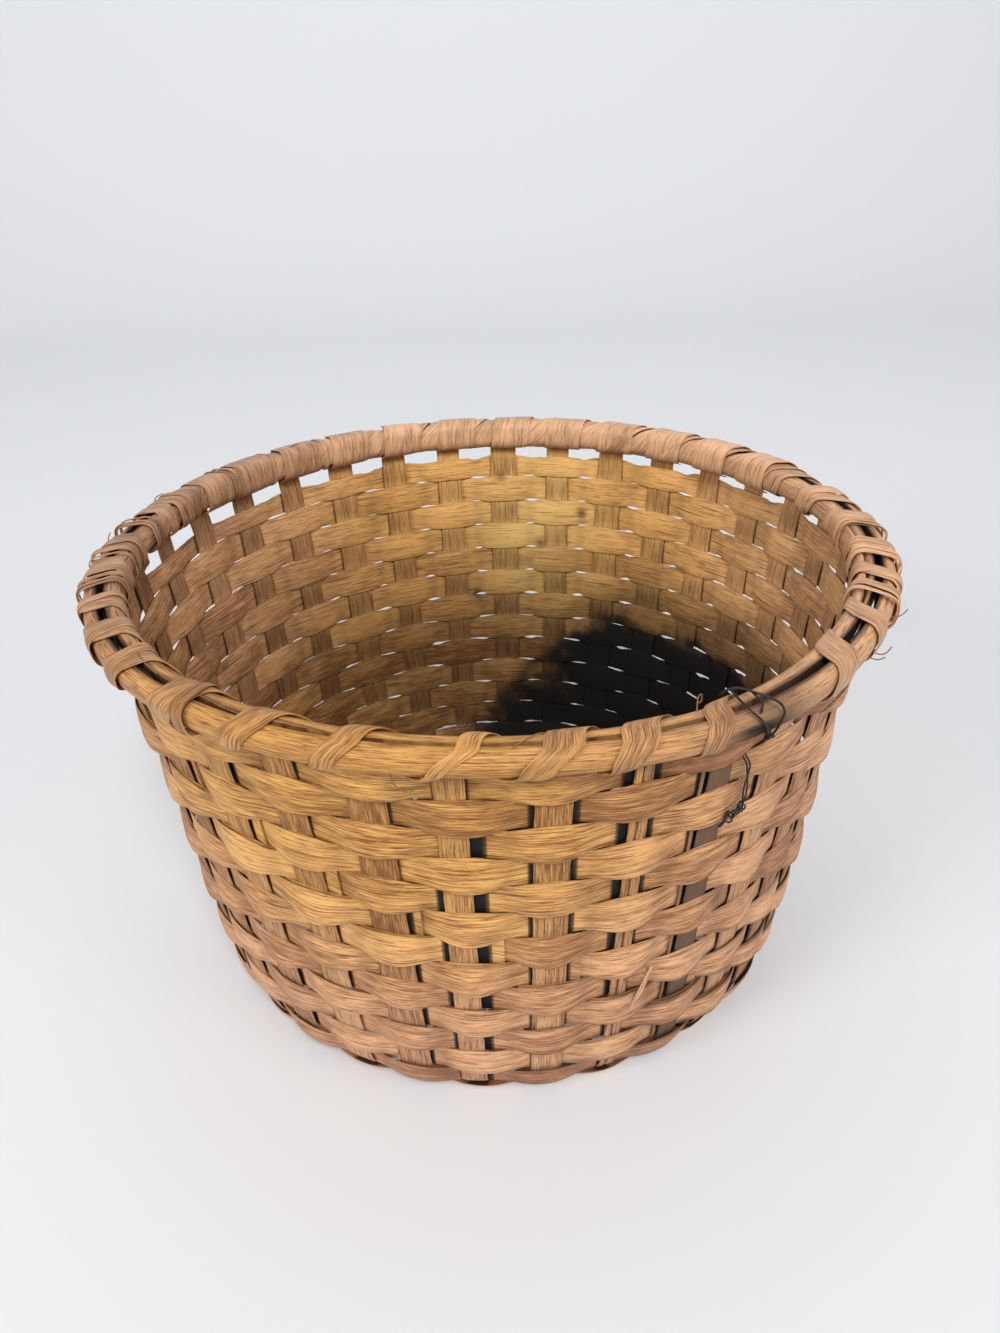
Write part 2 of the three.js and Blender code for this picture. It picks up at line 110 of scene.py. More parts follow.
class BasketColours(bpy.types.PropertyGroup):
    """Colours of the basket."""

    splint_light: colour("Splint light", "Light grain of the splints", 0.76, 0.408, 0.118)
    splint_mid: colour("Splint middle", "Main colour of the splints", 0.26, 0.098, 0.024)
    stake_light: colour("Stake light", "Light grain of the stakes", 0.60, 0.312, 0.094)
    stake_mid: colour("Stake middle", "Main colour of the stakes", 0.22, 0.084, 0.022)
    # Dark grain, also used for painted shade in recesses and at the splints' edges.
    splint_dark: colour("Splint dark", "Dark grain of the splints", 0.075, 0.026, 0.008)
    rosy_light: colour("Worn light", "Light grain of worn splints", 0.76, 0.424, 0.245)
    rosy_dark: colour("Worn middle", "Main colour of worn splints", 0.33, 0.141, 0.072)
    # The fresh colours are pale wood and also painted light where the inside, the right rim and the back
    # lashing are lit.
    fresh_light: colour("Fresh light", "Splints that stayed light inside", 0.85, 0.462, 0.14)
    fresh_rosy: colour("Fresh worn light", "Worn splints that stayed light", 0.84, 0.497, 0.295)
    # The pale patch inside at the back is a painted pool of light.
    bleached: colour("Bleached splint", "Pale patch inside", 0.85, 0.58, 0.20)
    # The soot colour also paints the black shade in hollows beside stakes and between the hoops.
    soot: colour("Soot", "Black stain inside", 0.003, 0.0022, 0.0018)
    grey_wood: colour("Grey wood", "Weathered wood", 0.10, 0.060, 0.038)
    hoop_light: colour("Hoop light", "Light grain of the hoops", 0.60, 0.290, 0.070)
    hoop_mid: colour("Hoop middle", "Main colour of the hoops", 0.22, 0.081, 0.019)
    lashing_light: colour("Lashing light", "Light grain of the lashing", 0.62, 0.31, 0.092)
    lashing_mid: colour("Lashing middle", "Main colour of the lashing", 0.19, 0.075, 0.021)
    wire: colour("Wire", "Iron repair wire", 0.03, 0.027, 0.025)
    rust: colour("Rust", "Rust on the repair wire", 0.11, 0.05, 0.025)
    floor: colour("Floor", "Pale ground and backdrop", 0.735, 0.748, 0.77)


class CameraView(bpy.types.PropertyGroup):
    """The view that the basket is shown from."""

    place: FloatVectorProperty(
        name="Place",
        description="Where the camera stands",
        default=(-0.0025, -0.534, 0.4624),
        subtype="TRANSLATION",
    )
    pitch: angle("Pitch", "How far the camera looks down", 29.67)
    roll: angle("Roll", "How far the camera is tilted", -1.94)
    yaw: angle("Yaw", "How far the camera is turned", -0.67)
    focal: FloatProperty(name="Focal length", description="Lens for a 36 mm high frame", default=29.667)


def smooth(low, high, value):
    """Rises from 0 to 1 between two values."""
    share = min(max((value - low) / (high - low), 0), 1)
    return share * share * (3 - 2 * share)


def hump(centre, reach, value):
    """A smooth bump of height 1 round a value."""
    return math.exp(-(((value - centre) / reach) ** 2))


def chance(*keys):
    """The same number from 0 to 1 each time for the same keys."""
    seed = 0
    for key in keys:
        seed = (seed * 7919 + int(key) * 104729 + 12345) % 2147483647
    seed = (seed * 48271) % 2147483647
    seed = (seed * 48271) % 2147483647
    return seed / 2147483647


def waver(along, seed, pace):
    """Slow unevenness from -1 to 1 along a piece."""
    return noise.noise(Vector((along * pace, seed * 3.7, 0.5)))


def flattened(wave):
    """A wave that stays longer at its ends, as a splint does where it lies on another."""
    return wave * (1.4 - 0.4 * wave * wave)


def curve(start, leave, arrive, end, t):
    """A point of a smooth curve from start to end."""
    u = 1 - t
    return u**3 * start + 3 * u * u * t * leave + 3 * u * t * t * arrive + t**3 * end


TURN_STEPS = 60
WALL_STEPS = 160
# Small knots inside: stake, and distance down from the top.
KNOTS = ((17.04, 0.036), (16.3, 0.083), (17.6, 0.120), (15.5, 0.060))
# Where the rows stand higher: stakes from the back one, reach in stakes and height in millimetres.
BACK_STAKE = 15.5
ROW_LIFTS = ((0, 4.5, 3.6), (7.5, 3.6, 5.2), (-7, 3, 1.4))
MENDED_STAKE = 3.4
RIM_SAG = 5.5 * MM
HOOP_SPREAD = 2.1 * MM


class Basket:
    """The wall as a map from stake number and distance up the wall to a place."""

    def __init__(self, size):
        self.size = size
        self.stakes = 4 * size.splints_each_way + 1
        self.crossing_shift = size.splint_thickness / 2 + size.clearance + size.weaver_thickness / 2
        self.lap_shift = size.weaver_thickness + size.clearance
        self.base_shift = (size.splint_thickness + size.clearance) / 2
        self.floor_height = self.crossing_shift + size.weaver_thickness / 2
        self.base_height = self.base_shift + size.splint_thickness / 2
        self.half_run = (size.splints_each_way - 1) / 2 * size.base_pitch
        self.draw_line()
        self.hoop_foot = self.length - size.hoop_height
        self.top_limit = self.hoop_foot - size.under_hoop_gap
        base_half = self.half_run + (size.splint_width + size.splint_spread) / 2
        self.first_row = base_half * math.sqrt(2) + size.corner_room
        woven = self.top_limit - size.weaver_end - self.first_row
        turns = int(woven / (size.weaver_width + size.row_gap))
        self.pitch = woven / turns
        self.last = turns * self.stakes
        wall_start = (self.turn_end - self.first_row) / self.pitch * self.stakes
        self.first_lap = self.last - 2 * int((self.last - wall_start) / 2)
        self.lap_every = 2 * int((self.last - self.first_lap) / (2 * (size.weaver_count - 1)))
        self.set_widths()
        self.knots = [self.place(stake, self.length - drop) for stake, drop in KNOTS]

    def draw_line(self):
        """Samples the wall's middle line from the floor's centre to the top."""
        size = self.size
        points = [(0, self.floor_height), (size.floor_radius, self.floor_height)]
        centre = self.floor_height + size.turn_radius
        sweep = math.pi / 2 - size.wall_lean
        for i in range(1, TURN_STEPS + 1):
            turned = sweep * i / TURN_STEPS
            radius = size.floor_radius + size.turn_radius * math.sin(turned)
            points.append((radius, centre - size.turn_radius * math.cos(turned)))
        start = Vector(points[-1])
        end = Vector((size.rim_radius, size.height))
        reach = (end - start).length / 3
        leave = start + reach * Vector((math.sin(size.wall_lean), math.cos(size.wall_lean)))
        arrive = end - reach * Vector((math.sin(size.rim_lean), math.cos(size.rim_lean)))
        for i in range(1, WALL_STEPS + 1):
            points.append(tuple(curve(start, leave, arrive, end, i / WALL_STEPS)))
        self.stops = [0]
        for before, after in zip(points, points[1:]):
            self.stops.append(self.stops[-1] + math.dist(before, after))
        self.points = points
        self.length = self.stops[-1]
        self.turn_end = size.floor_radius + size.turn_radius * sweep

    def line(self, s):
        """Radius and height at a distance up the wall."""
        i = min(max(bisect.bisect_right(self.stops, s) - 1, 0), len(self.points) - 2)
        share = (s - self.stops[i]) / (self.stops[i + 1] - self.stops[i])
        return [low + (high - low) * share for low, high in zip(self.points[i], self.points[i + 1])]

    def angle(self, stake):
        """Where a stake stands, from the front towards +X."""
        size = self.size
        even = stake * math.tau / self.stakes
        drift = size.stake_drift * (math.cos(even) - 1)
        return size.front_angle + even + drift + size.stake_bunching * math.sin(2 * even)

    def radial(self, stake):
        """Straight out from the basket's middle at a stake."""
        turn = self.angle(stake)
        return Vector((math.sin(turn), -math.cos(turn), 0))

    def directions(self, stake, s):
        """Sideways, up the wall and out of it."""
        low, high = (self.line(s + step * MM) for step in (-1.5, 1.5))
        rise = Vector((high[0] - low[0], high[1] - low[1])).normalized()
        radial = self.radial(stake)
        side = Vector((-radial.y, radial.x, 0))
        return side, radial * rise.x + UP * rise.y, radial * rise.y - UP * rise.x

    def place(self, stake, s):
        """A point of the wall."""
        turn = self.angle(stake)
        radius, height = self.line(s)
        return Vector((math.sin(turn) * radius, -math.cos(turn) * radius, height))

    def beside(self, stake, s, out):
        """A point beside the wall."""
        return self.place(stake, s) + self.directions(stake, s)[2] * out

    def width_of(self, index):
        """Width of one of the splints that cross the base."""
        return self.size.splint_width + self.size.splint_spread * math.sin(self.size.splint_phase * index + 1)

    def front_end(self, index):
        stake = index - self.size.splints_each_way // 2
        return stake if stake < self.odd_stake else stake + 1

    def right_end(self, index):
        return self.half + 1 + index

    def back_end(self, index):
        return self.half + 2 * self.size.splints_each_way - index

    def left_end(self, index):
        return self.half + 3 * self.size.splints_each_way - index

    def set_widths(self):
        """Gives each stake the width of its splint."""
        each = self.size.splints_each_way
        self.half = each // 2
        self.odd_stake = self.half - 2
        self.widths = [self.size.odd_width] * self.stakes
        for index in range(each):
            for end in (self.front_end, self.back_end):
                self.widths[end(index) % self.stakes] = self.width_of(index)
            for end in (self.right_end, self.left_end):
                self.widths[end(index) % self.stakes] = self.width_of(index + each)

    def turned(self, stake, start=0):
        """How many stakes away from another one, the short way round."""
        return (stake - start + self.stakes / 2) % self.stakes - self.stakes / 2

    def stake_at(self, crossing):
        """The stake number, not rounded, that a place on the spiral has reached."""
        return self.size.weaver_end_stake + self.last - crossing

    def first_crossing(self, stake):
        """Where on the spiral a stake is crossed first."""
        return (self.size.weaver_end_stake + self.last - stake) % self.stakes

    def row_low(self, crossing):
        return self.first_row + self.pitch * crossing / self.stakes

    def row_room(self, crossing):
        """How wide the row may be, which is less under the rim."""
        return min(self.size.weaver_width, self.top_limit - self.row_low(crossing))

    def row_lift(self, stake, s):
        """How much higher the rows stand at the back and at the sides."""
        turned = self.turned(stake, BACK_STAKE)
        lift = sum(height * hump(centre, reach, turned) for centre, reach, height in ROW_LIFTS)
        return lift * MM * smooth(0.20, 0.34, s)

    def behind(self, stake):
        """1 at the back of the rim, 0 at the front."""
        return smooth(8.5, 12, abs(self.turned(stake)))

    def spread(self, stake):
        """How far the hoops stand apart at the sides."""
        return HOOP_SPREAD * (1 - abs(math.cos(stake * math.tau / self.stakes)) ** 2.5)

    def sag(self, stake):
        """How far the rim hangs lower where it was mended."""
        return RIM_SAG * hump(0, 2.2, self.turned(stake, MENDED_STAKE))


# What the wood looks like at each point: its grain, its stains with painted light and shade, how worn it is,
# how fresh it is with painted light, and the painted black shade of its hollows.
MARKS = {
    "grain": ("FLOAT_VECTOR", "vector"),
    "stain": ("FLOAT_COLOR", "color"),
    "wear": ("FLOAT", "value"),
    "fresh": ("FLOAT", "value"),
    "hollow": ("FLOAT", "value"),
}
OUTWARD = (0, 1, 2, 3)
INWARD = (0, 3, 2, 1)


def mark(mesh, name, values):
    """Keeps a value for each point of a mesh, for its material."""
    kind, field = MARKS[name]
    mesh.attributes.new(name, kind, "POINT").data.foreach_set(field, values)


def skin(first, rings, ring, order=OUTWARD):
    """Faces over a run of rings of points, with both ends closed."""
    faces = []
    last = first + (rings - 1) * ring
    for a in range(first, last, ring):
        for j in range(ring):
            k = (j + 1) % ring
            corners = (a + j, a + ring + j, a + ring + k, a + k)
            faces.append(tuple(corners[n] for n in order))
    turn = -1 if order == INWARD else 1
    faces.append(tuple(range(first, first + ring))[::turn])
    faces.append(tuple(range(last, last + ring))[::-turn])
    return faces


def smooth_mesh(name, vertices, faces):
    mesh = bpy.data.meshes.new(name)
    mesh.from_pydata(vertices, [], faces)
    mesh.validate()
    mesh.shade_smooth()
    mesh.update()
    return mesh


def section_at(centre, wide, out, low, high, thick, along=0, **looks):
    """One station of a splint: its place, its directions, its half widths, and how it looks there."""
    shape = {"centre": centre, "wide": wide, "out": out, "low": low, "high": high, "thick": thick}
    return {**shape, "along": along, **looks}


class Strip:
    """Mesh data of one or more thin splints, each laid station by station."""

    def __init__(self, basket, across=7):
        self.basket = basket
        self.across = across
        self.vertices = []
        self.faces = []
        self.marks = {name: [] for name in MARKS}

    def add(self, point, **marks):
        """Adds a point and how its wood looks."""
        self.vertices.append(point)
        for name, value in marks.items():
            self.marks[name] += value if isinstance(value, tuple) else (value,)

    def lay(self, stations, seed):
        """Adds one closed splint through a list of stations."""
        first = len(self.vertices)
        for station in stations:
            self.section(station, seed)
        self.faces += skin(first, len(stations), 2 * self.across)

    def section(self, station, seed):
        """Adds the ring of points of one station: its outer face, then its inner face."""
        steps = [2 * j / (self.across - 1) - 1 for j in range(self.across)]
        cup = station.get("cup", 0)
        tilt = station.get("tilt", 0)
        for face, order in ((1, steps), (-1, steps[::-1])):
            for x in order:
                reach = x * station["high" if x > 0 else "low"]
                ease = 1 - 0.6 * abs(x) ** 6
                lift = cup * (1 - x * x) - tilt * x + face * station["thick"] / 2 * ease
                point = station["centre"] + station["wide"] * reach + station["out"] * lift
                point.z = max(point.z, 0)
                seen = face if abs(x) < 0.99 else -1
                soot, bleached, dirt, grey = stains(self.basket, point, seen, station)
                # Painted shade along the splint's edges.
                dirt += station.get("edge", 0.2) * abs(x) ** 8
                self.add(
                    point,
                    grain=(station["along"], reach + 0.05 * face, seed * 0.61),
                    stain=(soot, bleached, dirt, grey),
                    wear=worn(point, face),
                    fresh=station.get("fresh", kept_light(point, face)),
                    hollow=station.get("hollow" if face > 0 else "hollow_inside", 0),
                )

    def build(self, name, slot, wood, *replaced):
        """Makes the object, rides it on the basket and gives it its finish."""
        mesh = smooth_mesh(name, self.vertices, self.faces)
        for key, values in self.marks.items():
            mark(mesh, key, values)
        mesh.set_sharp_from_angle(angle=math.radians(50))
        mesh.update()
        finish_piece(name, mesh, slot, wood, *replaced)


# Size and scale of the waves in the rim of a stain.
STAIN_WAVES = ((0.008, 28), (0.006, 90), (0.003, 260))


def stains(basket, point, face, station):
    """Soot with painted black shade, a painted pool of light, painted shade in recesses with dark knots, and
    grey weathering at a point, each from 0 to 1.
    """
    soot = 0
    bleached = 0
    brown = 0
    if face < 0 or station.get("both"):
        around = math.degrees(math.atan2(point.x, point.y))
        cloud = sum(size * noise.noise(point * scale) for size, scale in STAIN_WAVES)
        edge = 0.026 + 0.086 * smooth(-14, 32, around) - 0.05 * smooth(64, 100, around) + cloud
        away = math.hypot(point.x - 0.065, point.y - 0.045) + 2 * cloud
        # Painted shade low on the inside wall, on the left and at the back.
        brown = smooth(-115, -40, around) * smooth(50, 15, around) * smooth(0.215, 0.06, point.z)
        veil = (0.35 + 0.35 * smooth(5, 35, around)) * smooth(-25, 5, around)
        # The soot's haze also takes in this painted shade.
        veil = max(veil * smooth(edge + 0.058, edge, point.z), 0.48 * brown)
        black = smooth(0.175, 0.120, away) * smooth(edge + 0.018, edge - 0.014, point.z)
        soot = max(black, veil * smooth(0.26, 0.16, away))
        # A painted pool of light on the inside at the back.
        bleached = hump(11, 13, around) * hump(0.158, 0.055, point.z)
    # Painted shade in recesses and low inside, then dark knots.
    dirt = station.get("recess", 0) + 0.42 * brown
    for knot in basket.knots:
        dirt += 1.4 * hump(0, 0.0032, (point - knot).length)
    return soot, bleached, min(dirt, 1.5), station.get("grey", 0)


def worn(point, face):
    """How rosy the wood has worn, from 0 to 1. The middle of the front and of the inside stay golden."""
    x, y, z = point
    if face < 0 and y > -0.08:
        return 0.05 + 0.72 * smooth(0.08, 0.19, abs(x - 0.02)) * smooth(0.03, 0.15, z)
    return smooth(0.04, 0.17, math.hypot((x + 0.045) * 0.84, (y + 0.17) * 0.75, (z - 0.20) * 1.05))


def kept_light(point, face):
    """How pale the wood has stayed, with painted light where the inside is lit, from 0 to 1. It is lightest
    inside at the back and on the right.
    """
    if face > 0:
        return 0
    high = smooth(0.06, 0.19, point.z)
    return min(high * (0.95 * smooth(0.02, 0.17, point.y) + 0.85 * smooth(0.02, 0.14, point.x)), 1)


def finish_piece(name, mesh, slot, wood, *replaced):
    """Puts a mesh in the scene as a piece of the basket."""
    piece = bpy.data.objects.new(name, mesh)
    bpy.context.scene.collection.objects.link(piece)
    mesh.materials.append(wood)
    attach(piece, "root")
    if replaced:
        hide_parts(*replaced)


class Value:
    """A value in a material. Arithmetic on it adds Math nodes."""

    def __init__(self, finish, socket):
        self.finish = finish
        self.socket = socket

    def math(self, operation, first, second):
        return self.finish.node("ShaderNodeMath", {"operation": operation}, {0: first, 1: second})

    def __add__(self, other):
        return self.math("ADD", self, other)

    def __radd__(self, other):
        return self.math("ADD", other, self)

    def __sub__(self, other):
        return self.math("SUBTRACT", self, other)

    def __rsub__(self, other):
        return self.math("SUBTRACT", other, self)

    def __mul__(self, other):
        return self.math("MULTIPLY", self, other)

    def __rmul__(self, other):
        return self.math("MULTIPLY", other, self)

    def between(self, low, high):
        """Rises from 0 to 1 while the value goes from low to high."""
        values = {"Value": self, "From Min": low, "From Max": high}
        return self.finish.node("ShaderNodeMapRange", {"interpolation_type": "SMOOTHSTEP"}, values)


class Finish:
    """A material, or the light all round, under construction."""

    def __init__(self, owner):
        owner.use_nodes = True
        self.tree = owner.node_tree
        self.tree.nodes.clear()

    def node(self, kind, settings=None, values=None, output=0):
        """Adds a node: its settings first, then what goes into its sockets."""
        made = self.tree.nodes.new(kind)
        for key, setting in (settings or {}).items():
            setattr(made, key, setting)
        for key, value in (values or {}).items():
            socket = made.inputs[key]
            if isinstance(value, Value):
                self.tree.links.new(value.socket, socket)
            elif socket.type == "RGBA":
                socket.default_value = (*value, 1)
            else:
                socket.default_value = value
        return Value(self, made.outputs[output]) if made.outputs else None

    def attribute(self, name, output="Fac"):
        return self.node("ShaderNodeAttribute", {"attribute_name": name}, output=output)

    def place(self):
        return self.node("ShaderNodeTexCoord", output="Object")

    def noise(self, vector, scale, detail, roughness):
        values = {"Vector": vector, "Scale": scale, "Detail": detail, "Roughness": roughness}
        return self.node("ShaderNodeTexNoise", {"noise_dimensions": "3D"}, values)

    def streaks(self, grain, stretch, detail, roughness):
        """Noise stretched along the grain."""
        vector = self.node("ShaderNodeVectorMath", {"operation": "MULTIPLY"}, {0: grain, 1: stretch})
        return self.noise(vector, 1, detail, roughness)

    def blend(self, factor, first, second):
        """Mixes two colours."""
        settings = {"data_type": "RGBA", "blend_type": "MIX", "clamp_factor": True}
        return self.node("ShaderNodeMix", settings, {0: factor, 6: first, 7: second}, output=2)

    def bump(self, strength, distance, height):
        values = {"Strength": strength, "Distance": distance, "Height": height}
        return self.node("ShaderNodeBump", values=values)

    def close(self, **values):
        """Puts a shader on the surface, with these values in its sockets."""
        named = {key.replace("_", " "): value for key, value in values.items()}
        shader = self.node("ShaderNodeBsdfPrincipled", values=named)
        self.node("ShaderNodeOutputMaterial", values={"Surface": shader})


def splint_finish(finish, colours, light, middle, gloss, streaky, patches, dim):
    """Split wood: streaks and fibres along the splint, fine cracks, wear, dark knots and stains, with painted
    shade in recesses, hollows and gaps and painted light where it is lit.
    """
    grain = finish.attribute("grain", "Vector")
    # The stain colour holds soot with painted black shade in red, a painted pool of light in green, painted
    # shade in recesses, at edges and low inside with dark knots in blue, and grey weathering in alpha.
    stain = finish.node(
        "ShaderNodeSeparateColor", {"mode": "RGB"}, {"Color": finish.attribute("stain", "Color")}
    )
    parts = stain.socket.node.outputs
    soot, bleached, recess = (Value(finish, parts[name]) for name in ("Red", "Green", "Blue"))
    grey = finish.attribute("stain", "Alpha")
    wear = finish.attribute("wear")
    fresh = finish.attribute("fresh")
    depth = finish.attribute("hollow")
    frayed = finish.streaks(grain, (180, 700, 3), 2, 0.5)
    streak = finish.streaks(grain, (62, 1500, 3), 3, 0.68)
    fibre = finish.streaks(grain, (160, 3300, 3), 2, 0.6)
    cloud = finish.streaks(grain, (42, 230, 3), 3, 0.62)
    piece = finish.streaks(grain, (patches, 8, 2), 1, 0.4)
    crack = finish.streaks(grain, (24, 1500, 5), 1, 0.4).between(0.66, 0.72)
    blotch = finish.noise(finish.place(), 26, 4, 0.6)
    # Painted black shade in the hollows beside stakes.
    deep = (depth + frayed * 0.22 - 0.11).between(0.40, 0.58) * depth
    tone = (streak * 1.1 + fibre * 0.6 + cloud * 0.62 + piece * 0.68 - 1.0).between(0.25, 0.75)
    low = 1 - (streak * 0.6 + fibre * 0.4).between(0.36, 0.485)
    ends = (colours.rosy_dark, colours.rosy_light)
    rosy = [[share * value for share, value in zip(dim, end)] for end in ends]
    wood = finish.blend(tone, getattr(colours, middle), getattr(colours, light))
    layers = (
        (wear * 0.85, finish.blend(tone, *rosy)),
        # Pale fresh wood, with painted light where the inside and the rim are lit.
        (fresh * (0.4 + tone * 0.5), finish.blend(wear * 0.85, colours.fresh_light, colours.fresh_rosy)),
        (low * streaky, colours.splint_dark),
        (blotch.between(0.48, 0.70) * 0.25, colours.splint_dark),
        # Painted pool of light inside at the back.
        (bleached * (0.25 + tone * 0.65), colours.bleached),
        (crack * 0.7, colours.splint_dark),
        (grey * (0.45 + streak * 0.7), colours.grey_wood),
        # Painted shade in recesses, at edges and low inside, with dark knots.
        (recess * 0.6, colours.splint_dark),
        (soot, colours.soot),
        (deep, colours.soot),
    )
    for factor, layer in layers:
        wood = finish.blend(factor, wood, layer)
    finish.close(
        Base_Color=wood,
        Roughness=0.60 - gloss + fibre * 0.26 + soot * 0.2,
        Normal=finish.bump(0.6, 0.00025, streak * 0.5 + fibre * 0.6 - crack * 0.7),
        Specular_IOR_Level=0.28,
    )


def wire_finish(finish, colours):
    """Dull iron wire with a little rust."""
    rust = finish.noise(finish.place(), 900, 3, 0.6)
    finish.close(
        Base_Color=finish.blend(rust.between(0.5, 0.72) * 0.7, colours.wire, colours.rust),
        Roughness=0.35 + rust * 0.35,
        Metallic=0.65,
        Normal=finish.bump(0.3, 0.0001, rust),
    )


def floor_finish(finish, colours):
    """Pale paper with the faintest cloudiness."""
    cloud = finish.noise(finish.place(), 2.2, 2, 0.5)
    shade = finish.blend(cloud * 0.25, colours.floor, [0.95 * value for value in colours.floor])
    finish.close(Base_Color=shade, Roughness=0.6 + cloud * 0.1)


# Each finish: how it is made, and for wood its light and main colour, its gloss, how streaky it is, how
# small its patches are, and how much dimmer its worn parts are in red, green and blue.
FINISHES = {
    "stake_wood": (splint_finish, "stake_light", "stake_mid", 0.05, 0.6, 4, (0.85, 0.85, 0.85)),
    "weaver_wood": (splint_finish, "splint_light", "splint_mid", 0.08, 0.45, 6, (1, 1, 1)),
    "rim_wood": (splint_finish, "hoop_light", "hoop_mid", 0.14, 0.65, 5, (0.75, 0.75, 0.75)),
    "lashing_wood": (splint_finish, "lashing_light", "lashing_mid", 0.32, 0.45, 22, (0.72, 0.76, 0.80)),
    "dull_iron": (wire_finish,),
    "pale_ground": (floor_finish,),
}


def finish_of(context, name):
    """A material by name, made once."""
    if name not in bpy.data.materials:
        make, *values = FINISHES[name]
        make(Finish(bpy.data.materials.new(name)), context.scene.basket_colours, *values)
    return bpy.data.materials[name]


def basket_now(context):
    return Basket(context.scene.basket_sizes)


# From stake to stake, for the grain of a weaver in metres, and for its painted hollow shade in millimetres.
STAKE_RUN = 0.036
STAKE_STEP = 36.5
# In front, how far some stakes stand to the side, and how wide they are, in millimetres.
STAKE_STRAY = {0: -3.4, 3: 1.6}
STAKE_WIDTH = {0: 12.5, 1: 15.5, 3: 12.0}
# How wide the painted black shade in the hollows beside the front stakes is, and how soft its rim is, in
# millimetres.
HOLLOW_RIM = 1.5
HOLLOW_LEFT = {3: 5.2, 0: 3.4, 1: 2.2, 2: 4.4, -2: 2.4, -1: 1.8, 4: 2.8, 5: 3.0, 6: 2.6, 7: 2.0}
HOLLOW_RIGHT = {0: 6.0, 1: 3.2, 2: 3.8, -1: 3.0, -3: 2.8, -4: 2.4, -5: 2.4, 5: 1.6}


def hollow(basket, stake, wave, nearest, row, face):
    """Painted black shade beside a stake, where a weaver goes in behind it. Narrow stakes in front have the
    most.
    """
    turned = basket.turned(stake)
    number = round(turned)
    offset = (turned - number) * STAKE_STEP - STAKE_STRAY.get(number, 0)
    beyond = abs(offset) - STAKE_WIDTH.get(number, basket.widths[number % basket.stakes] / MM) / 2
    right = offset > 0
    if face < 0:
        widest = 1.5 * chance(nearest, 44 + right)
        hidden = 0.7 * smooth(-0.35, 0.05, wave)
    else:
        usual = 1.6 * chance(nearest, 34 + right) * (1 - smooth(5, 9, abs(turned)))
        widest = (HOLLOW_RIGHT if right else HOLLOW_LEFT).get(number, usual)
        widest *= 0.2 + 0.95 * smooth(0.05, 0.75, chance(row, 36, number + (50 if right else 9)))
        hidden = smooth(0.35, -0.05, wave)
    return smooth(widest + HOLLOW_RIM, widest - HOLLOW_RIM, beyond) * hidden


def weaver_station(basket, crossing, seed, lap_old, lap_new):
    """One station of a weaver, at a place along the spiral."""
    stake = basket.stake_at(crossing)
    # 1 where the weaver is outside a stake, -1 where it is inside, and smooth between.
    wave = -math.cos(math.pi * (basket.last - crossing))
    outside = max(wave, 0)
    hold = math.sqrt(wave * wave + 0.01) - 0.04
    ease = 1 - hold
    passing = smooth(0.5, 0.05, abs(wave))
    nearest = round(crossing)
    gap = math.floor(crossing)
    foot = basket.row_low(crossing)
    floor_share = 1 - smooth(basket.turn_end - 0.012, basket.turn_end + 0.02, foot)
    room = basket.row_room(crossing)
    head = foot + room
    foot += basket.row_lift(stake, foot)
    if crossing < basket.last - basket.stakes:
        head += basket.row_lift(stake, head)
    half = (head - foot) / 2
    fit = smooth(0.008, 0.013, head - foot)
    # How far out it stands.
    proud = (0.2 + 0.9 * chance(nearest, 3)) * MM * outside**2
    proud += 1.6 * MM * outside**2 * (1 - smooth(0, basket.stakes * 1.2, crossing))
    proud *= smooth(0.140, 0.156, foot + room / 2)
    out = basket.crossing_shift * flattened(wave) + proud
    out += lap_new * basket.lap_shift * (wave + 1) / 2 - lap_old * basket.lap_shift * (1 - wave) / 2
    # How wide it is: fuller over a stake, and pinched between two.
    front = 1 - smooth(5, 9, abs(stake if stake < basket.stakes / 2 else stake - basket.stakes))
    full = 1.2 + 0.9 * chance(nearest, 1)
    if wave < 0:
        below_rim = smooth(0, 2 * basket.stakes, basket.last - crossing)
        full -= front * (1.2 + 1.5 * chance(nearest, 8)) * below_rim
    full += basket.behind(stake) * (0.7 * chance(nearest, 1) - 0.5)
    swell = full * MM * hold * (1 - 0.6 * floor_share)
    left = hump(-10.5, 3.0, basket.turned(stake))
    narrow = passing * basket.behind(stake) * (1 - 0.5 * left)
    drift = 1.0 * MM * (chance(nearest, 4) - 0.5) * wave * wave * fit
    s = foot + half + drift + 0.3 * MM * waver(crossing, seed, 0.21) * fit
    along = crossing * STAKE_RUN
    edges = []
    for pinch_key, close_key, open_key, rough_key in ((2, 14, 12, 11), (7, 19, 17, 23)):
        closed = 0.25 + 0.5 * left * chance(gap, close_key)
        opened = 1.6 * max(chance(gap, open_key) - 0.45, 0) * narrow
        pinch = ((0.75 * chance(gap, pinch_key) - closed) * ease + opened) * MM
        rough = 0.26 * MM * waver(along, seed + rough_key, 260)
        rough += 0.35 * MM * waver(along, seed + rough_key + 1, 70)
        edges.append(half + (swell - pinch) * fit + rough)
    leaning = outside**2 * (0.25 + 1.0 * chance(nearest, 6)) * (1 - 0.7 * floor_share)
    rise, away = basket.directions(stake, s)[1:]
    row = crossing // basket.stakes
    return section_at(
        basket.place(stake, s) + away * out,
        rise,
        away,
        *edges,
        basket.size.weaver_thickness * (1 + 0.15 * waver(along, seed, 60)),
        along,
        cup=MM * (0.5 * wave + 0.5 * hold * (chance(nearest, 5) - 0.5)),
        tilt=MM * (0.3 * hold + leaning),
        # Painted shade where the weaver passes between stakes and, in front, where it goes in behind them.
        recess=0.25 * passing + 0.3 * front * smooth(0.1, -0.7, wave),
        hollow=hollow(basket, stake, wave, nearest, row, 1),
        hollow_inside=hollow(basket, stake, wave, nearest, row, -1),
    )


# In stakes: how far a weaver runs past its last crossing, and where it moves over or under at a lap.
WEAVER_TAIL = 0.42
LAP_START = 1.6
LAP_END = 2.2
STATIONS_PER_STAKE = 24


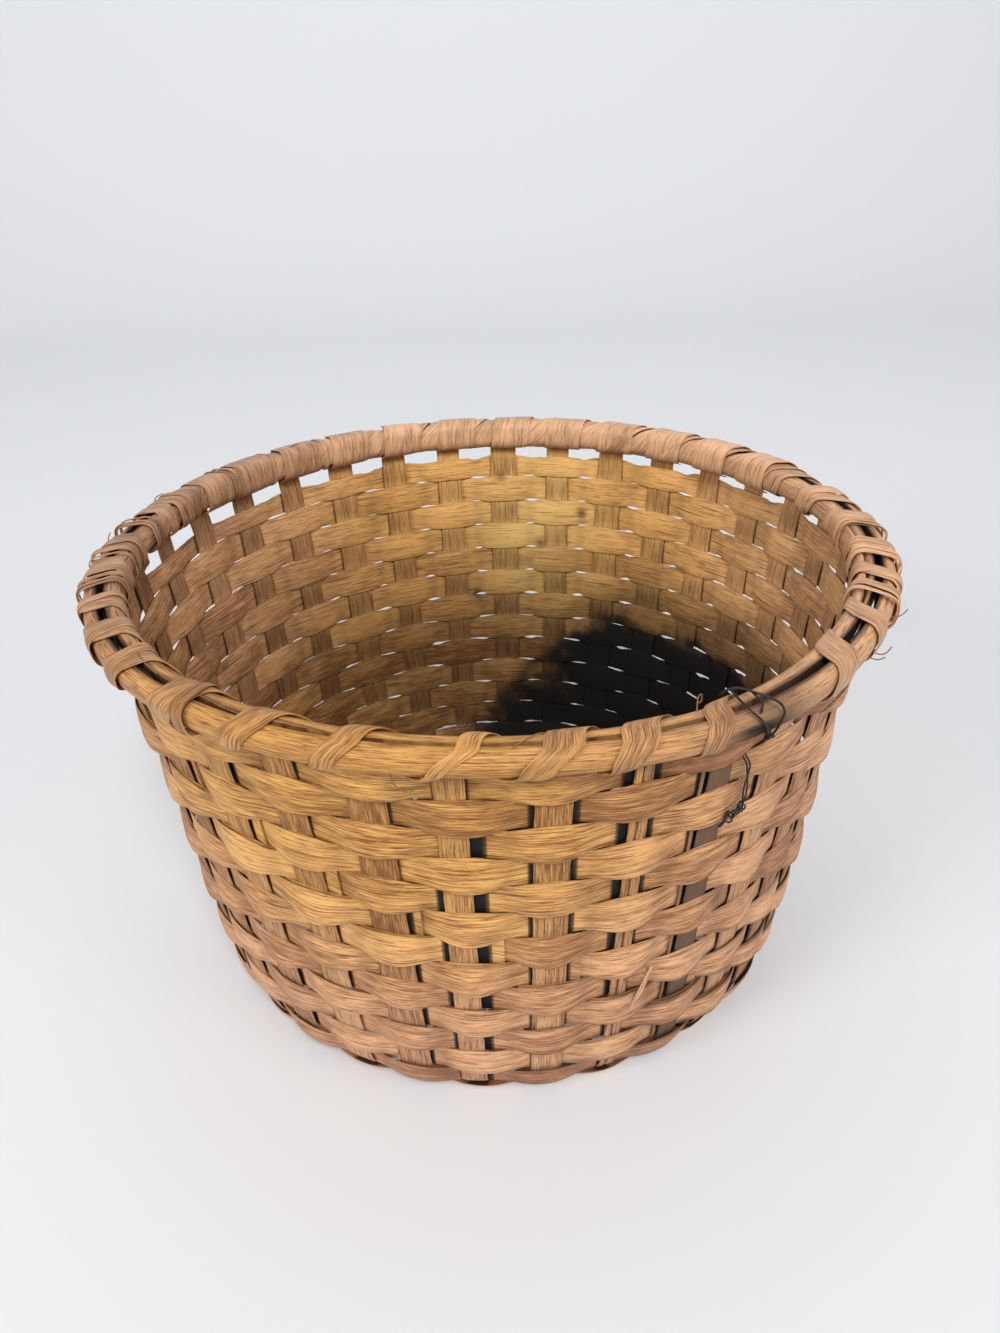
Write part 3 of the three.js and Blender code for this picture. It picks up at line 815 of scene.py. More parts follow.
class BASKET_OT_weavers(bpy.types.Operator):
    """Weave the wall in one spiral of lapped lengths"""

    bl_idname = "basket.weavers"
    bl_label = "Weavers"

    def execute(self, context):
        basket = basket_now(context)
        wood = finish_of(context, "weaver_wood")
        count = basket.size.weaver_count
        for index in range(count):
            first = index == 0
            newest = index == count - 1
            start = 0 if first else basket.first_lap + (index - 1) * basket.lap_every
            end = basket.last if newest else basket.first_lap + index * basket.lap_every + 1
            begin = start - WEAVER_TAIL
            finish = end + WEAVER_TAIL
            steps = int((finish - begin) * STATIONS_PER_STAKE)
            stations = []
            for i in range(steps + 1):
                crossing = begin + (finish - begin) * i / steps
                over = 0 if first else 1 - smooth(start + LAP_START, start + LAP_END, crossing)
                under = 0 if newest else smooth(end - LAP_END, end - LAP_START, crossing)
                stations.append(weaver_station(basket, crossing, index, under, over))
            strip = Strip(basket)
            strip.lay(stations, index + 1)
            strip.build(f"woven_weaver_{index + 1}", "weaver_splint", wood, f"weaver_{index + 1}")
        return {"FINISHED"}


def between_hoops(turned):
    """How black the narrow gap between the hoops looks. At the front light still falls into it."""
    return 0.25 + 0.65 * smooth(1.8, 4.8, abs(turned))


def stake_stations(basket, stake, width, shift=0.0, grey=0.0, seed=0, foot=None):
    """The stations of a stake from its foot to its top between the hoops."""
    size = basket.size
    turned = basket.turned(stake)
    crossing = basket.first_crossing(stake)
    parity = 1 if (basket.last - crossing) % 2 else -1
    first = basket.row_low(crossing) if foot is None else foot
    top = basket.length - 2 * MM - basket.sag(turned) - (1.5 * chance(stake % basket.stakes, 9)) * MM
    steps = int((top - first) / (3 * MM))
    stations = []
    for i in range(steps + 1):
        s = first + (top - first) * i / steps
        level = s - basket.row_lift(turned, s)
        row = (level - basket.row_low(crossing) - size.weaver_width / 2) / basket.pitch
        wave = parity * math.cos(math.pi * row)
        held = smooth(basket.first_row, basket.first_row + 0.02, s)
        side, _, away = basket.directions(turned, s)
        stray = shift + STAKE_STRAY.get(turned, 0) * MM * held
        wide = width + (STAKE_WIDTH.get(turned, width / MM) * MM - width) * held
        half = wide / 2 * (1 + 0.035 * waver(s, seed, 30))
        # Painted black shade on the stake tops between the hoops.
        dark = between_hoops(turned) * smooth(basket.hoop_foot + 0.002, basket.hoop_foot + 0.007, s)
        station = section_at(
            basket.place(turned, s) + away * (-0.3 * MM * wave * held) + side * stray,
            side,
            away,
            half + 0.2 * MM * waver(s, seed + 5, 300),
            half + 0.2 * MM * waver(s, seed + 9, 300),
            size.splint_thickness,
            s,
            cup=0.25 * MM * smooth(basket.turn_end, basket.turn_end + 0.02, s),
            # Painted shade on the stake where a weaver lies over it.
            recess=0.5 * smooth(-0.1, 0.9, wave) * held,
            grey=grey,
            hollow=dark,
            hollow_inside=dark,
        )
        stations.append(station)
    return stations


WEATHERED_STAKE = 3


def sliver_stations(basket):
    """A thin sliver that has split off along the left edge of the weathered stake."""
    foot = basket.row_low(basket.first_crossing(WEATHERED_STAKE)) + 0.035
    stations = stake_stations(basket, WEATHERED_STAKE, 1.6 * MM, 0, 0.8, 60, foot)
    for station in stations:
        station["centre"] = station["centre"] - station["wide"] * 9.4 * MM
        station["low"] = station["high"] = 0.8 * MM
        station["thick"] *= 0.7
    return stations


def stake_grey(stake):
    """How weathered a stake is. One at the front is dark grey."""
    return 1.0 if stake == WEATHERED_STAKE else 0.12 * chance(stake, 31)


def flipped(stations, reference):
    """Turns the stations' width to the same side all along."""
    for station in stations:
        if station["wide"].dot(reference) < 0:
            station["wide"] = -station["wide"]
            station["low"], station["high"] = station["high"], station["low"]
    return stations


BASE_STEPS = 90
FAN_STEPS = 12


def base_stations(basket, index, along, across, offset, width, crossed):
    """The part of a splint that crosses the plaited base."""
    size = basket.size
    reach = basket.half_run + crossed / 2 + size.clearance
    stations = []
    for i in range(BASE_STEPS + 1):
        distance = -reach + 2 * reach * i / BASE_STEPS
        order = min(max((distance + basket.half_run) / size.base_pitch, 0), size.splints_each_way - 1)
        wave = flattened(math.cos(math.pi * (order + index)))
        centre = along * distance + across * offset + UP * (basket.base_height - basket.base_shift * wave)
        half = width * 0.58
        # Painted shade where the splint turns between over and under its crossing splints.
        recess = 0.25 * (1 - abs(wave))
        stations.append(
            section_at(centre, across, -UP, half, half, size.splint_thickness, recess=recess, both=True)
        )
    return stations


def fan_stations(basket, start, heading, foot, stake, width):
    """The part of a splint from base to wall. It is wider there, so that the floor is closed."""
    gap = (foot - start).length
    leave = start + heading * gap / 3
    arrive = foot - basket.radial(stake) * gap / 3
    stations = []
    for i in range(1, FAN_STEPS):
        t = i / FAN_STEPS
        u = 1 - t
        point = curve(start, leave, arrive, foot, t)
        tangent = 3 * u * u * (leave - start) + 6 * u * t * (arrive - leave) + 3 * t * t * (foot - arrive)
        point.z = start.z + (foot.z - start.z) * smooth(0.6, 1, t)
        half = width / 2 * (1 + 0.22 * math.sin(math.pi * (0.3 + 0.7 * (i - 1) / (FAN_STEPS - 2))))
        wide = UP.cross(tangent.normalized()).normalized()
        stations.append(section_at(point, wide, -UP, half, half, basket.size.splint_thickness, both=True))
    return stations


def through_stations(basket, index, ends, along, across, offset, width, crossed, seed):
    """A splint that runs up the wall, across the plaited base and up the wall again."""
    base = base_stations(basket, index, along, across, offset, width, crossed)
    walls = []
    for stake, heading, start, extra in ((ends[0], -along, base[0], 0), (ends[1], along, base[-1], 40)):
        rise = stake_stations(basket, stake, width, grey=stake_grey(stake), seed=seed + extra)
        fan = fan_stations(basket, start["centre"], heading, rise[0]["centre"], stake, width)
        walls.append(flipped(fan + rise, across))
    joined = walls[0][::-1] + base + walls[1]
    travelled = 0
    joined[0]["along"] = 0
    for before, station in zip(joined, joined[1:]):
        travelled += (station["centre"] - before["centre"]).length
        station["along"] = travelled
    return joined


class BASKET_OT_stakes(bpy.types.Operator):
    """Cross the base splints and turn them up as stakes"""

    bl_idname = "basket.stakes"
    bl_label = "Base splints and stakes"

    def execute(self, context):
        basket = basket_now(context)
        size = basket.size
        each = size.splints_each_way
        wood = finish_of(context, "stake_wood")
        turn = size.front_angle
        right = Vector((math.cos(turn), math.sin(turn), 0))
        back = Vector((-math.sin(turn), math.cos(turn), 0))
        for index in range(each):
            offset = (index - (each - 1) / 2) * size.base_pitch
            front_back = (basket.front_end(index), basket.back_end(index))
            left_right = (basket.left_end(index), basket.right_end(index))
            for name, order, ends, along, across, number, other in (
                ("front_back_splint", index, front_back, back, right, index, each),
                ("left_right_splint", index + 1, left_right, right, back, index + each, 0),
            ):
                width = basket.width_of(number)
                crossed = basket.width_of(other)
                strip = Strip(basket)
                strip.lay(
                    through_stations(basket, order, ends, along, across, offset, width, crossed, number),
                    20 + number,
                )
                if WEATHERED_STAKE in ends:
                    strip.lay(sliver_stations(basket), 60)
                strip.build(f"laid_{name}_{index + 1}", "stake_splint", wood, f"{name}_{index + 1}")
        return {"FINISHED"}


class BASKET_OT_odd_stake(bpy.types.Operator):
    """Set the narrow odd stake, which has split in two"""

    bl_idname = "basket.odd_stake"
    bl_label = "Odd stake"

    def execute(self, context):
        basket = basket_now(context)
        stake = basket.odd_stake
        foot = basket.row_low(basket.first_crossing(stake)) - 0.012
        strip = Strip(basket, across=5)
        whole = basket.size.odd_width
        for width, shift, grey, seed in ((0.40, -0.29, 0.15, 61), (0.52, 0.23, 0.1, 62)):
            strip.lay(stake_stations(basket, stake, whole * width, whole * shift, grey, seed, foot), seed)
        strip.build("split_odd_stake", "stake_splint", finish_of(context, "stake_wood"), "odd_stake")
        return {"FINISHED"}


def rim_place(basket, stake, out, rise):
    """A point beside the rim: out of the wall and up from the middle of the hoops."""
    s = basket.hoop_foot + basket.size.hoop_height / 2
    side, up, away = basket.directions(stake, s)
    out += math.copysign(basket.spread(stake), out) * smooth(0, 0.002, abs(out))
    if rise < 0:
        rise *= 1 + 0.12 * basket.behind(stake)
    return basket.place(stake, s) + away * out + up * (rise - basket.sag(stake)), side, up, away


def corner(value, power):
    """Makes a round outline squarer."""
    return math.copysign(abs(value) ** power, value)


HOOP_ARC_STEPS = 18
HOOP_STEPS_PER_STAKE = 8
# The scarf of a hoop, in stakes, and how thick its thin end is.
SCARF = 3
SCARF_END = 0.8 * MM
# From stake to stake along a hoop, and across its round side, for its grain.
HOOP_RUN = 0.037
HOOP_SIDE = 0.007


def hoop_outline():
    """Half-round section of a hoop: how far out, from 0 to 1, and how high, from -1 to 1."""
    outline = []
    for i in range(HOOP_ARC_STEPS + 1):
        swing = math.pi * (i / HOOP_ARC_STEPS - 0.5)
        outline.append((corner(math.cos(swing), 0.85), corner(math.sin(swing), 0.78)))
    return outline + [(0.0, level) for level in (0.6, 0.2, -0.2, -0.6)]


class BASKET_OT_hoops(bpy.types.Operator):
    """Bend the two half-round hoops and scarf their ends"""

    bl_idname = "basket.hoops"
    bl_label = "Rim hoops"

    def execute(self, context):
        basket = basket_now(context)
        wood = finish_of(context, "rim_wood")
        self.hoop(basket, wood, 1, 20, "outer")
        self.hoop(basket, wood, -1, 6, "inner")
        return {"FINISHED"}

    def hoop(self, basket, wood, side, scarf, name):
        """One hoop, outside the stakes where side is 1 and inside where it is -1."""
        size = basket.size
        near = size.splint_thickness / 2 + size.clearance
        taper = size.hoop_thickness - 2 * SCARF_END
        steps = (basket.stakes + SCARF) * HOOP_STEPS_PER_STAKE
        outline = hoop_outline()
        strip = Strip(basket)
        for i in range(steps + 1):
            step = i * (basket.stakes + SCARF) / steps
            turned = basket.turned(scarf + step)
            low = near
            high = near + size.hoop_thickness
            if step < SCARF:
                high = near + SCARF_END + taper * step / SCARF
            if step > basket.stakes:
                low = near + SCARF_END + taper * (step - basket.stakes) / SCARF + size.clearance
            # Painted black shade in the gap between the hoops.
            gap = between_hoops(turned)
            grey = hump(3.5, 0.7, turned) * (0.8 if side > 0 else 0.24)
            for reach, level in outline:
                swing = math.atan2(level, reach)
                uneven = noise.noise(Vector((step * 0.9, swing * 1.6, 7 * side)))
                ridge = noise.noise(Vector((step * 0.4, swing * 9, 3 + side)))
                out = low + (high - low) * reach + (0.35 * uneven + 0.3 * ridge) * MM * reach
                rise = level * size.hoop_height / 2 * (1 + 0.02 * uneven)
                point = rim_place(basket, turned, side * out, rise)[0]
                smoked = hump(3.25, 0.42, turned + 0.2 * uneven) * smooth(0.95, 0.1, level + 0.3 * ridge)
                # A real soot stain on the outer hoop, and painted black shade in the gap between the hoops.
                soot = max(smoked if side > 0 else 0, gap * smooth(0.22, 0.04, reach))
                strip.add(
                    point,
                    grain=(step * HOOP_RUN, swing * HOOP_SIDE, 90 + side),
                    # Blue is painted shade at the inner edge of the gap.
                    stain=(soot, 0, gap * smooth(0.12, 0.0, reach), grey),
                    wear=worn(point, 1),
                    # Lighter hoops, with painted light on the right where the rim is lit.
                    fresh=min(0.30 + 0.55 * smooth(0.05, 0.15, point.x), 0.8),
                    hollow=0,
                )
        strip.faces += skin(0, steps + 1, len(outline), (1, 2, 3, 0) if side > 0 else INWARD)
        strip.build(f"bent_{name}_hoop", "hoop_wood", wood, f"{name}_rim_hoop")


def wrap_point(basket, turn, grow):
    """A point of the outline round both hoops, counted from under them, out and up, from 0 to 1."""
    size = basket.size
    wide = size.splint_thickness / 2 + size.clearance + size.hoop_thickness + grow
    tall = size.hoop_height / 2 + grow
    swing = math.tau * turn - math.pi / 2
    return wide * corner(math.cos(swing), 0.66), tall * corner(math.sin(swing), 0.66)


# By the gap between stakes: the width of a wrap in millimetres, and how far towards the next stake it has
# come at the top of the rim.
WRAP_WIDTH = {
    -12: 17, -11: 18, -10: 15, -9: 18, -8: 16, -7: 13, -6: 17, -5: 18, -4: 18, -3: 15, -2: 12, -1: 9,
    0: 16, 1: 16, 2: 12, 4: 17, 5: 14, 6: 13,
}
WRAP_LEAD = {-5: 0.2, -4: 0.3, -3: 0.35, -2: 0.4, -1: 0.62, 0: 0.55, 1: 0.34, 2: 0.26, 4: 0.3, 5: 0.3}
WRAP_STEPS = 36


def lashing_width(basket, gap):
    """Width of the wrap in a gap between stakes."""
    usual = 10 + 4 * chance(gap, 51) + basket.behind(gap) * (8 + 4 * chance(gap, 52))
    return WRAP_WIDTH.get(basket.turned(gap), usual) * MM


def wrap_stations(basket, centre, shift, lead, width, grow, loose, ends):
    """The stations of one wrap round the hoops, from under them and back."""
    stations = []
    for i in range(WRAP_STEPS + 1):
        turn = ends[0] + (ends[1] - ends[0]) * i / WRAP_STEPS
        stake = centre + shift * (lead * min(turn / 0.45, 1) + (1 - lead) * smooth(0.4, 1.0, turn))
        swollen = grow + loose * math.sin(math.pi * min(max(turn, 0), 1)) ** 2
        out, rise = wrap_point(basket, turn, swollen)
        ahead = wrap_point(basket, turn + 0.004, swollen)
        behind = wrap_point(basket, turn - 0.004, swollen)
        point, side, up, away = rim_place(basket, stake, out, rise)
        run = (away * (ahead[0] - behind[0]) + up * (ahead[1] - behind[1])).normalized()
        outward = run.cross(side)
        if outward.dot(away * out + up * rise) < 0:
            outward = -outward
        stations.append((point, side, outward, turn, width))
    return stations


def lashing_fresh(point):
    """How pale the lashing has stayed, with painted light where it is lit: most at the back and on the right.
    """
    back = 0.9 * smooth(-0.02, 0.14, point.y) * smooth(-0.18, -0.06, point.x)
    return min(back + 0.7 * smooth(0.08, 0.18, point.x), 1)


def as_lashing(basket, wrap, seed, travelled):
    """Turns wrap points into strip stations with a measured run."""
    stations = []
    before = wrap[0][0]
    for point, side, outward, _, width in wrap:
        travelled += (point - before).length
        before = point
        station = section_at(
            point,
            side,
            outward,
            width / 2 + 0.3 * MM * waver(travelled, seed, 150),
            width / 2 + 0.3 * MM * waver(travelled, seed + 3, 150),
            basket.size.lashing_thickness,
            travelled,
            cup=0.6 * MM * waver(travelled, seed + 5, 40),
            tilt=0.8 * MM * waver(travelled, seed + 7, 25),
            edge=0,
            fresh=lashing_fresh(point),
        )
        stations.append(station)
    return stations


LASHING_GAP = 0.5 * MM
FIRST_GAP = 4
TUCKED_END = 0.86


class BASKET_OT_lashing(bpy.types.Operator):
    """Wind the rim lashing round both hoops"""

    bl_idname = "basket.lashing"
    bl_label = "Rim lashing"

    def execute(self, context):
        basket = basket_now(context)
        wood = finish_of(context, "lashing_wood")
        grow = LASHING_GAP + basket.size.lashing_thickness / 2
        wraps = (basket.stakes - 1) // 2
        for number in range(2):
            start = FIRST_GAP + number * wraps
            run = []
            for gap in range(start, start + wraps):
                here = lashing_width(basket, gap)
                there = lashing_width(basket, gap + 1)
                lead = WRAP_LEAD.get(basket.turned(gap), 0.2 + 0.45 * chance(gap, 53))
                loose = (0.3 + 1.6 * basket.behind(gap)) * MM * chance(gap, 57)
                ends = (0.0, 1.0 if gap < start + wraps - 1 else TUCKED_END)
                wrap = wrap_stations(basket, gap + 0.5, 1.0, lead, here, grow, loose, ends)
                at_left = smooth(29, 27, gap)
                slim = 0.42 * (1 - basket.behind(gap)) * (1 - 0.5 * chance(gap, 59)) * (1 - 0.8 * at_left)
                for point, side, outward, turn, width in wrap if gap == start else wrap[1:]:
                    mixed = width + (there - here) * smooth(0.6, 1, turn)
                    mixed *= 1 - slim * smooth(0.36, 0.12, turn) - slim * smooth(0.8, 1, turn)
                    run.append((point, side, outward, turn, mixed))
            strip = Strip(basket, across=9)
            strip.lay(as_lashing(basket, run, 70 + number, number * 3.1), 70 + number)
            strip.build(f"wound_lashing_{number + 1}", "lashing_splint", wood, f"rim_lashing_{number + 1}")
        return {"FINISHED"}


# Where the extra wraps start, in stakes. More of them follow each other round the back.
WRAP_PLACES = [6.6, 7.1, 8.05, 9.1, 10.0, 24.0, 25.05, 26.1, 26.9, 27.9, 28.6, -3.0]
WRAPS_BEHIND = 26
STRAND_PLACES = (20.3, 21.3, 22.2, 23.3, 24.4, 25.4, 26.4, 6.3, 7.6, 8.6)
WRAP_ENDS = (0.02, 0.98)


class BASKET_OT_extra_wraps(bpy.types.Operator):
    """Add the extra wraps where the rim is bound more closely"""

    bl_idname = "basket.extra_wraps"
    bl_label = "Extra wraps"

    def execute(self, context):
        basket = basket_now(context)
        strip = Strip(basket, across=9)
        grow = LASHING_GAP + basket.size.lashing_thickness * 1.6
        more = [11 + 0.5 * number + 0.15 * chance(number, 80) for number in range(WRAPS_BEHIND)]
        for number, place in enumerate(WRAP_PLACES + more):
            behind = basket.behind(place)
            width = (6 + 4 * chance(number, 81) + behind * (5 + 11 * chance(number, 85))) * MM
            width += 4.5 * MM * hump(23.5, 4.5, place) * chance(number, 96)
            lead = 0.2 + 0.6 * chance(number, 82)
            shift = 0.35 * (chance(number, 83) - 0.3) + behind * (0.15 + 0.7 * chance(number, 86))
            loose = (0.3 + 2.2 * behind) * MM * chance(number, 84) ** 1.5
            over = grow + 0.5 * MM * behind
            wrap = wrap_stations(basket, place, shift, lead, width, over, loose, WRAP_ENDS)
            strip.lay(as_lashing(basket, wrap, 120 + number, number * 0.4), 120 + number)
        for key in range(3 * len(STRAND_PLACES)):
            place = STRAND_PLACES[key // 3] + 0.075 * (key % 3) + 0.03 * chance(key, 87)
            width = (1.8 + 1.6 * chance(key, 88)) * MM
            loose = 1.6 * MM * chance(key, 89)
            lead = 0.2 + 0.6 * chance(key, 90)
            wrap = wrap_stations(basket, place, 0.25 * chance(key, 95), lead, width, grow, loose, WRAP_ENDS)
            strip.lay(as_lashing(basket, wrap, 200 + key, key * 0.4), 200 + key)
        strip.build("close_wraps", "lashing_splint", finish_of(context, "lashing_wood"))
        return {"FINISHED"}


# Each run of the rim wire: stake, turn round the hoops from 0 to 1, and height off them in millimetres.
RIM_WIRE = (
    (
        (3.46, 0.96, 0.2), (3.46, 0.88, 0), (3.40, 0.76, 0.3), (3.30, 0.66, 1.2), (3.16, 0.57, 1.8),
        (3.13, 0.47, 1.4), (3.20, 0.37, 0.5), (3.30, 0.26, 0.1), (3.37, 0.18, 0.2), (3.41, 0.14, 0.5),
    ),
    (
        (3.06, 0.66, 1.5), (3.10, 0.58, 3.0), (3.20, 0.53, 4.2), (3.34, 0.49, 4.6), (3.46, 0.43, 3.2),
        (3.51, 0.35, 1.4), (3.50, 0.27, 0.4), (3.46, 0.20, 0.2), (3.40, 0.14, 0.8), (3.35, 0.12, 1.6),
    ),
    ((3.30, 0.52, 3.8), (3.31, 0.48, 2.2), (3.27, 0.44, 1.0), (3.24, 0.42, 0.8)),
    (
        (3.46, 0.10, 0.4), (3.42, 0.13, 1.1), (3.37, 0.16, 1.3), (3.40, 0.19, 1.0), (3.45, 0.16, 1.4),
        (3.40, 0.10, 1.2),
    ),
    ((3.46, 0.96, 0.4), (3.47, 1.02, 0.2), (3.46, 1.08, 0.3), (3.44, 1.12, 0.6)),
)
# Where the side wire goes through the wall, and how far out of it and down it runs, in millimetres.
HOOK_STAKE = 3.30
HOOK = ((-0.3, 1), (-0.6, 0.2), (-1.6, -0.3), (-3.0, 0.2), (-4.0, 1.8), (-4.2, 6), (-4.2, 14))
STRAND_LENGTH = 50 * MM
STRAND_STEPS = 39
BUNDLE_POINTS = 30
TUBE_SIDES = 8
TUBE_STEPS = 6


def tube(name, runs, radius, finish, slot, *replaced):
    """A piece of round wire along one or more smooth runs of points."""
    vertices = []
    faces = []
    for run in runs:
        points = []
        padded = [2 * run[0] - run[1], *run, 2 * run[-1] - run[-2]]
        for p0, p1, p2, p3 in zip(padded, padded[1:], padded[2:], padded[3:]):
            for step in range(TUBE_STEPS):
                t = step / TUBE_STEPS
                bend = (2 * p0 - 5 * p1 + 4 * p2 - p3) * t * t
                points.append(0.5 * (2 * p1 + (p2 - p0) * t + bend + (3 * p1 - p0 - 3 * p2 + p3) * t**3))
        points.append(run[-1])
        faces += skin(len(vertices), len(points), TUBE_SIDES, INWARD)
        normal = None
        for before, point, after in zip(points[:1] + points, points, points[1:] + points[-1:]):
            ahead = (after - before).normalized()
            normal = normal or ahead.orthogonal().normalized()
            normal = (normal - ahead * normal.dot(ahead)).normalized()
            other = ahead.cross(normal)
            for j in range(TUBE_SIDES):
                swing = math.tau * j / TUBE_SIDES
                vertices.append(point + (normal * math.cos(swing) + other * math.sin(swing)) * radius)
    mesh = smooth_mesh(name, vertices, faces)
    finish_piece(name, mesh, slot, finish, *replaced)
    return mesh


class BASKET_OT_wires(bpy.types.Operator):
    """Twist the two iron repair wires"""

    bl_idname = "basket.wires"
    bl_label = "Repair wires"

    def execute(self, context):
        basket = basket_now(context)
        iron = finish_of(context, "dull_iron")
        radius = basket.size.wire_radius
        rim = []
        for turns in RIM_WIRE:
            outline = [(stake, *wrap_point(basket, turn, (1.0 + lift) * MM)) for stake, turn, lift in turns]
            rim.append([rim_place(basket, *spot)[0] for spot in outline])
        tube("twisted_rim_wire", rim, radius * 0.95, iron, "tie_wire", "rim_wire")
        level = basket.hoop_foot - 1.7 * MM
        side = [self.strand(basket, level, strand) for strand in range(2)]
        side += [self.hook(basket, level), self.bundle(basket, level)]
        tube("twisted_side_wire", side, radius * 0.75, iron, "tie_wire", "side_wire")
        return {"FINISHED"}

    def strand(self, basket, level, strand):
        """One of the two twisted strands that hang down outside."""
        run = []
        for i in range(STRAND_STEPS + 1):
            drop = STRAND_LENGTH * i / STRAND_STEPS
            twist = math.pi * strand + drop * 190
            stake = HOOK_STAKE + 0.12 * smooth(0, 0.045, drop) + 0.022 * math.cos(twist)
            out = (-0.3 + 4.8 * smooth(0.016, 0.022, drop) + 0.55 * math.sin(twist)) * MM
            run.append(basket.beside(stake, level - drop, out))
        return run

    def hook(self, basket, level):
        """Where the side wire goes through the wall under the hoops and down inside."""
        away = basket.directions(HOOK_STAKE, level)[2]
        return [basket.place(HOOK_STAKE, level - drop * MM) + away * out * MM for out, drop in HOOK]

    def bundle(self, basket, level):
        """The crumpled end of the side wire."""
        run = []
        for i in range(BUNDLE_POINTS):
            swing = i * 0.9
            stake = 3.41 - 0.009 * i + 0.05 * math.sin(swing) + 0.03 * math.sin(swing * 2.3)
            drop = (46 + 0.16 * i + 2.8 * math.cos(swing * 1.3)) * MM
            run.append(basket.beside(stake, level - drop, (4.4 + 0.8 * math.sin(swing * 1.7)) * MM))
        return run


# Each loose fibre at the rim: stake, and how far out of the wall and up it reaches, in millimetres.
FIBRES = (
    ((0.55, 2, 6.0), (0.68, 0, 8.2), (0.82, -3, 8.4), (0.94, -5, 6.8)),
    ((-0.62, 7, -3), (-0.56, 9.5, -7), (-0.44, 9.5, -10), (-0.34, 8, -8)),
    ((2.62, -4, 7), (2.70, -8, 10), (2.80, -10, 9), (2.78, -9, 6), (2.70, -8, 7.5)),
    ((6.2, 8, 3), (6.26, 10.5, 3), (6.34, 12.5, 4), (6.38, 13.5, 6)),
    ((5.6, 8, -4), (5.66, 10.5, -5), (5.74, 12.5, -5), (5.82, 13.5, -3)),
    ((5.5, 8, -5), (5.58, 11, -6), (5.68, 13, -6)),
    ((-8.1, 8, 2), (-8.14, 9.5, 4), (-8.2, 10, 6), (-8.26, 9, 8)),
    ((-9.4, 6, 6), (-9.44, 7, 8), (-9.5, 7, 9.5), (-9.6, 5, 10)),
    ((-10.6, 4, 7), (-10.65, 4.5, 9), (-10.75, 4, 10)),
    ((-3.2, -2, 6.5), (-2.9, -1, 7.4), (-2.5, 0, 7.2), (-2.2, 0, 6.4)),
    ((-4.6, -3, 6.5), (-4.3, -2, 7.8), (-3.9, -1, 7.4), (-3.7, -1, 6.2)),
    ((-1.9, -2, 6.2), (-1.6, -1.5, 7.2), (-1.3, -1, 6.6), (-1.1, -0.5, 6.0)),
    ((16.9, -2, 8.5), (16.75, -1, 10), (16.55, 0, 9.8)),
    ((21.0, -3, 8.5), (20.85, -2, 10.2), (20.65, 0, 10)),
)
WALL_FIBRES = 26
SLIVER_STEPS = 12


class BASKET_OT_fibres(bpy.types.Operator):
    """Raise the loose fibres and slivers of the worn wood"""

    bl_idname = "basket.fibres"
    bl_label = "Loose fibres"

    def execute(self, context):
        basket = basket_now(context)
        wood = finish_of(context, "weaver_wood")
        runs = []
        for path in FIBRES:
            runs.append([rim_place(basket, stake, out * MM, rise * MM)[0] for stake, out, rise in path])
        for number in range(WALL_FIBRES):
            stake = -16 + 32 * chance(number, 91)
            drop = (0.02 + 0.17 * chance(number, 92)) + basket.size.hoop_height
            s = basket.length - drop
            away = basket.directions(stake, s)[2]
            lean = 4 * MM * (chance(number, 93) - 0.5)
            reach = 0.08 + 0.16 * chance(number, 94)
            run = []
            for share in (0, 1 / 3, 2 / 3, 1):
                out = (2.0 + 0.9 * math.sin(math.pi * share)) * MM
                run.append(basket.place(stake + reach * share, s + lean * share) + away * out)
            runs.append(run)
        mesh = tube("loose_fibres", runs, 0.3 * MM, wood, "weaver_splint")
        mark(mesh, "grain", [value for vertex in mesh.vertices for value in vertex.co])
        mark(mesh, "fresh", [1.0] * len(mesh.vertices))
        self.sliver(basket, wood)
        return {"FINISHED"}

    def sliver(self, basket, wood):
        """A pale sliver that stands off the lower wall at the front."""
        stations = []
        for i in range(SLIVER_STEPS + 1):
            share = i / SLIVER_STEPS
            stake = 2.44 - 0.40 * share
            s = basket.length - 0.148 - 0.036 * share
            side, rise, away = basket.directions(stake, s)
            run = (rise * -0.036 - side * 0.012).normalized()
            half = (0.4 + 1.0 * math.sin(math.pi * min(share + 0.12, 1))) * MM
            centre = basket.place(stake, s) + away * (3.4 + 1.2 * math.sin(math.pi * share)) * MM
            thick = 0.5 * basket.size.weaver_thickness
            wide = away.cross(run)
            stations.append(section_at(centre, wide, away, half, half, thick, 0.032 * share, edge=0, fresh=1))
        strip = Strip(basket, across=5)
        strip.lay(stations, 140)
        strip.build("loose_sliver", "weaver_splint", wood)


# Each lamp: its name, place, width, power and what it points at.
LAMPS = (
    ("key_lamp", (0.4, -3.0, 3.4), 1.4, 130, (0, 0, 0.12)),
    ("left_lamp", (-2.6, -2.2, 2.0), 1.6, 54, (0, 0, 0.12)),
    ("right_lamp", (2.6, -2.2, 2.2), 2.0, 22, (0, 0, 0.12)),
    ("backdrop_lamp", (0.0, 1.0, 2.8), 2.4, 12, (0, 2.0, 0.2)),
)
EVEN_LIGHT = 0.28
SEEN_LIGHT = 0.80
# Where the floor starts to bend up, and how tightly, in metres.
BEND_START = 1.5
BEND = 0.8
BEND_STEPS = 12


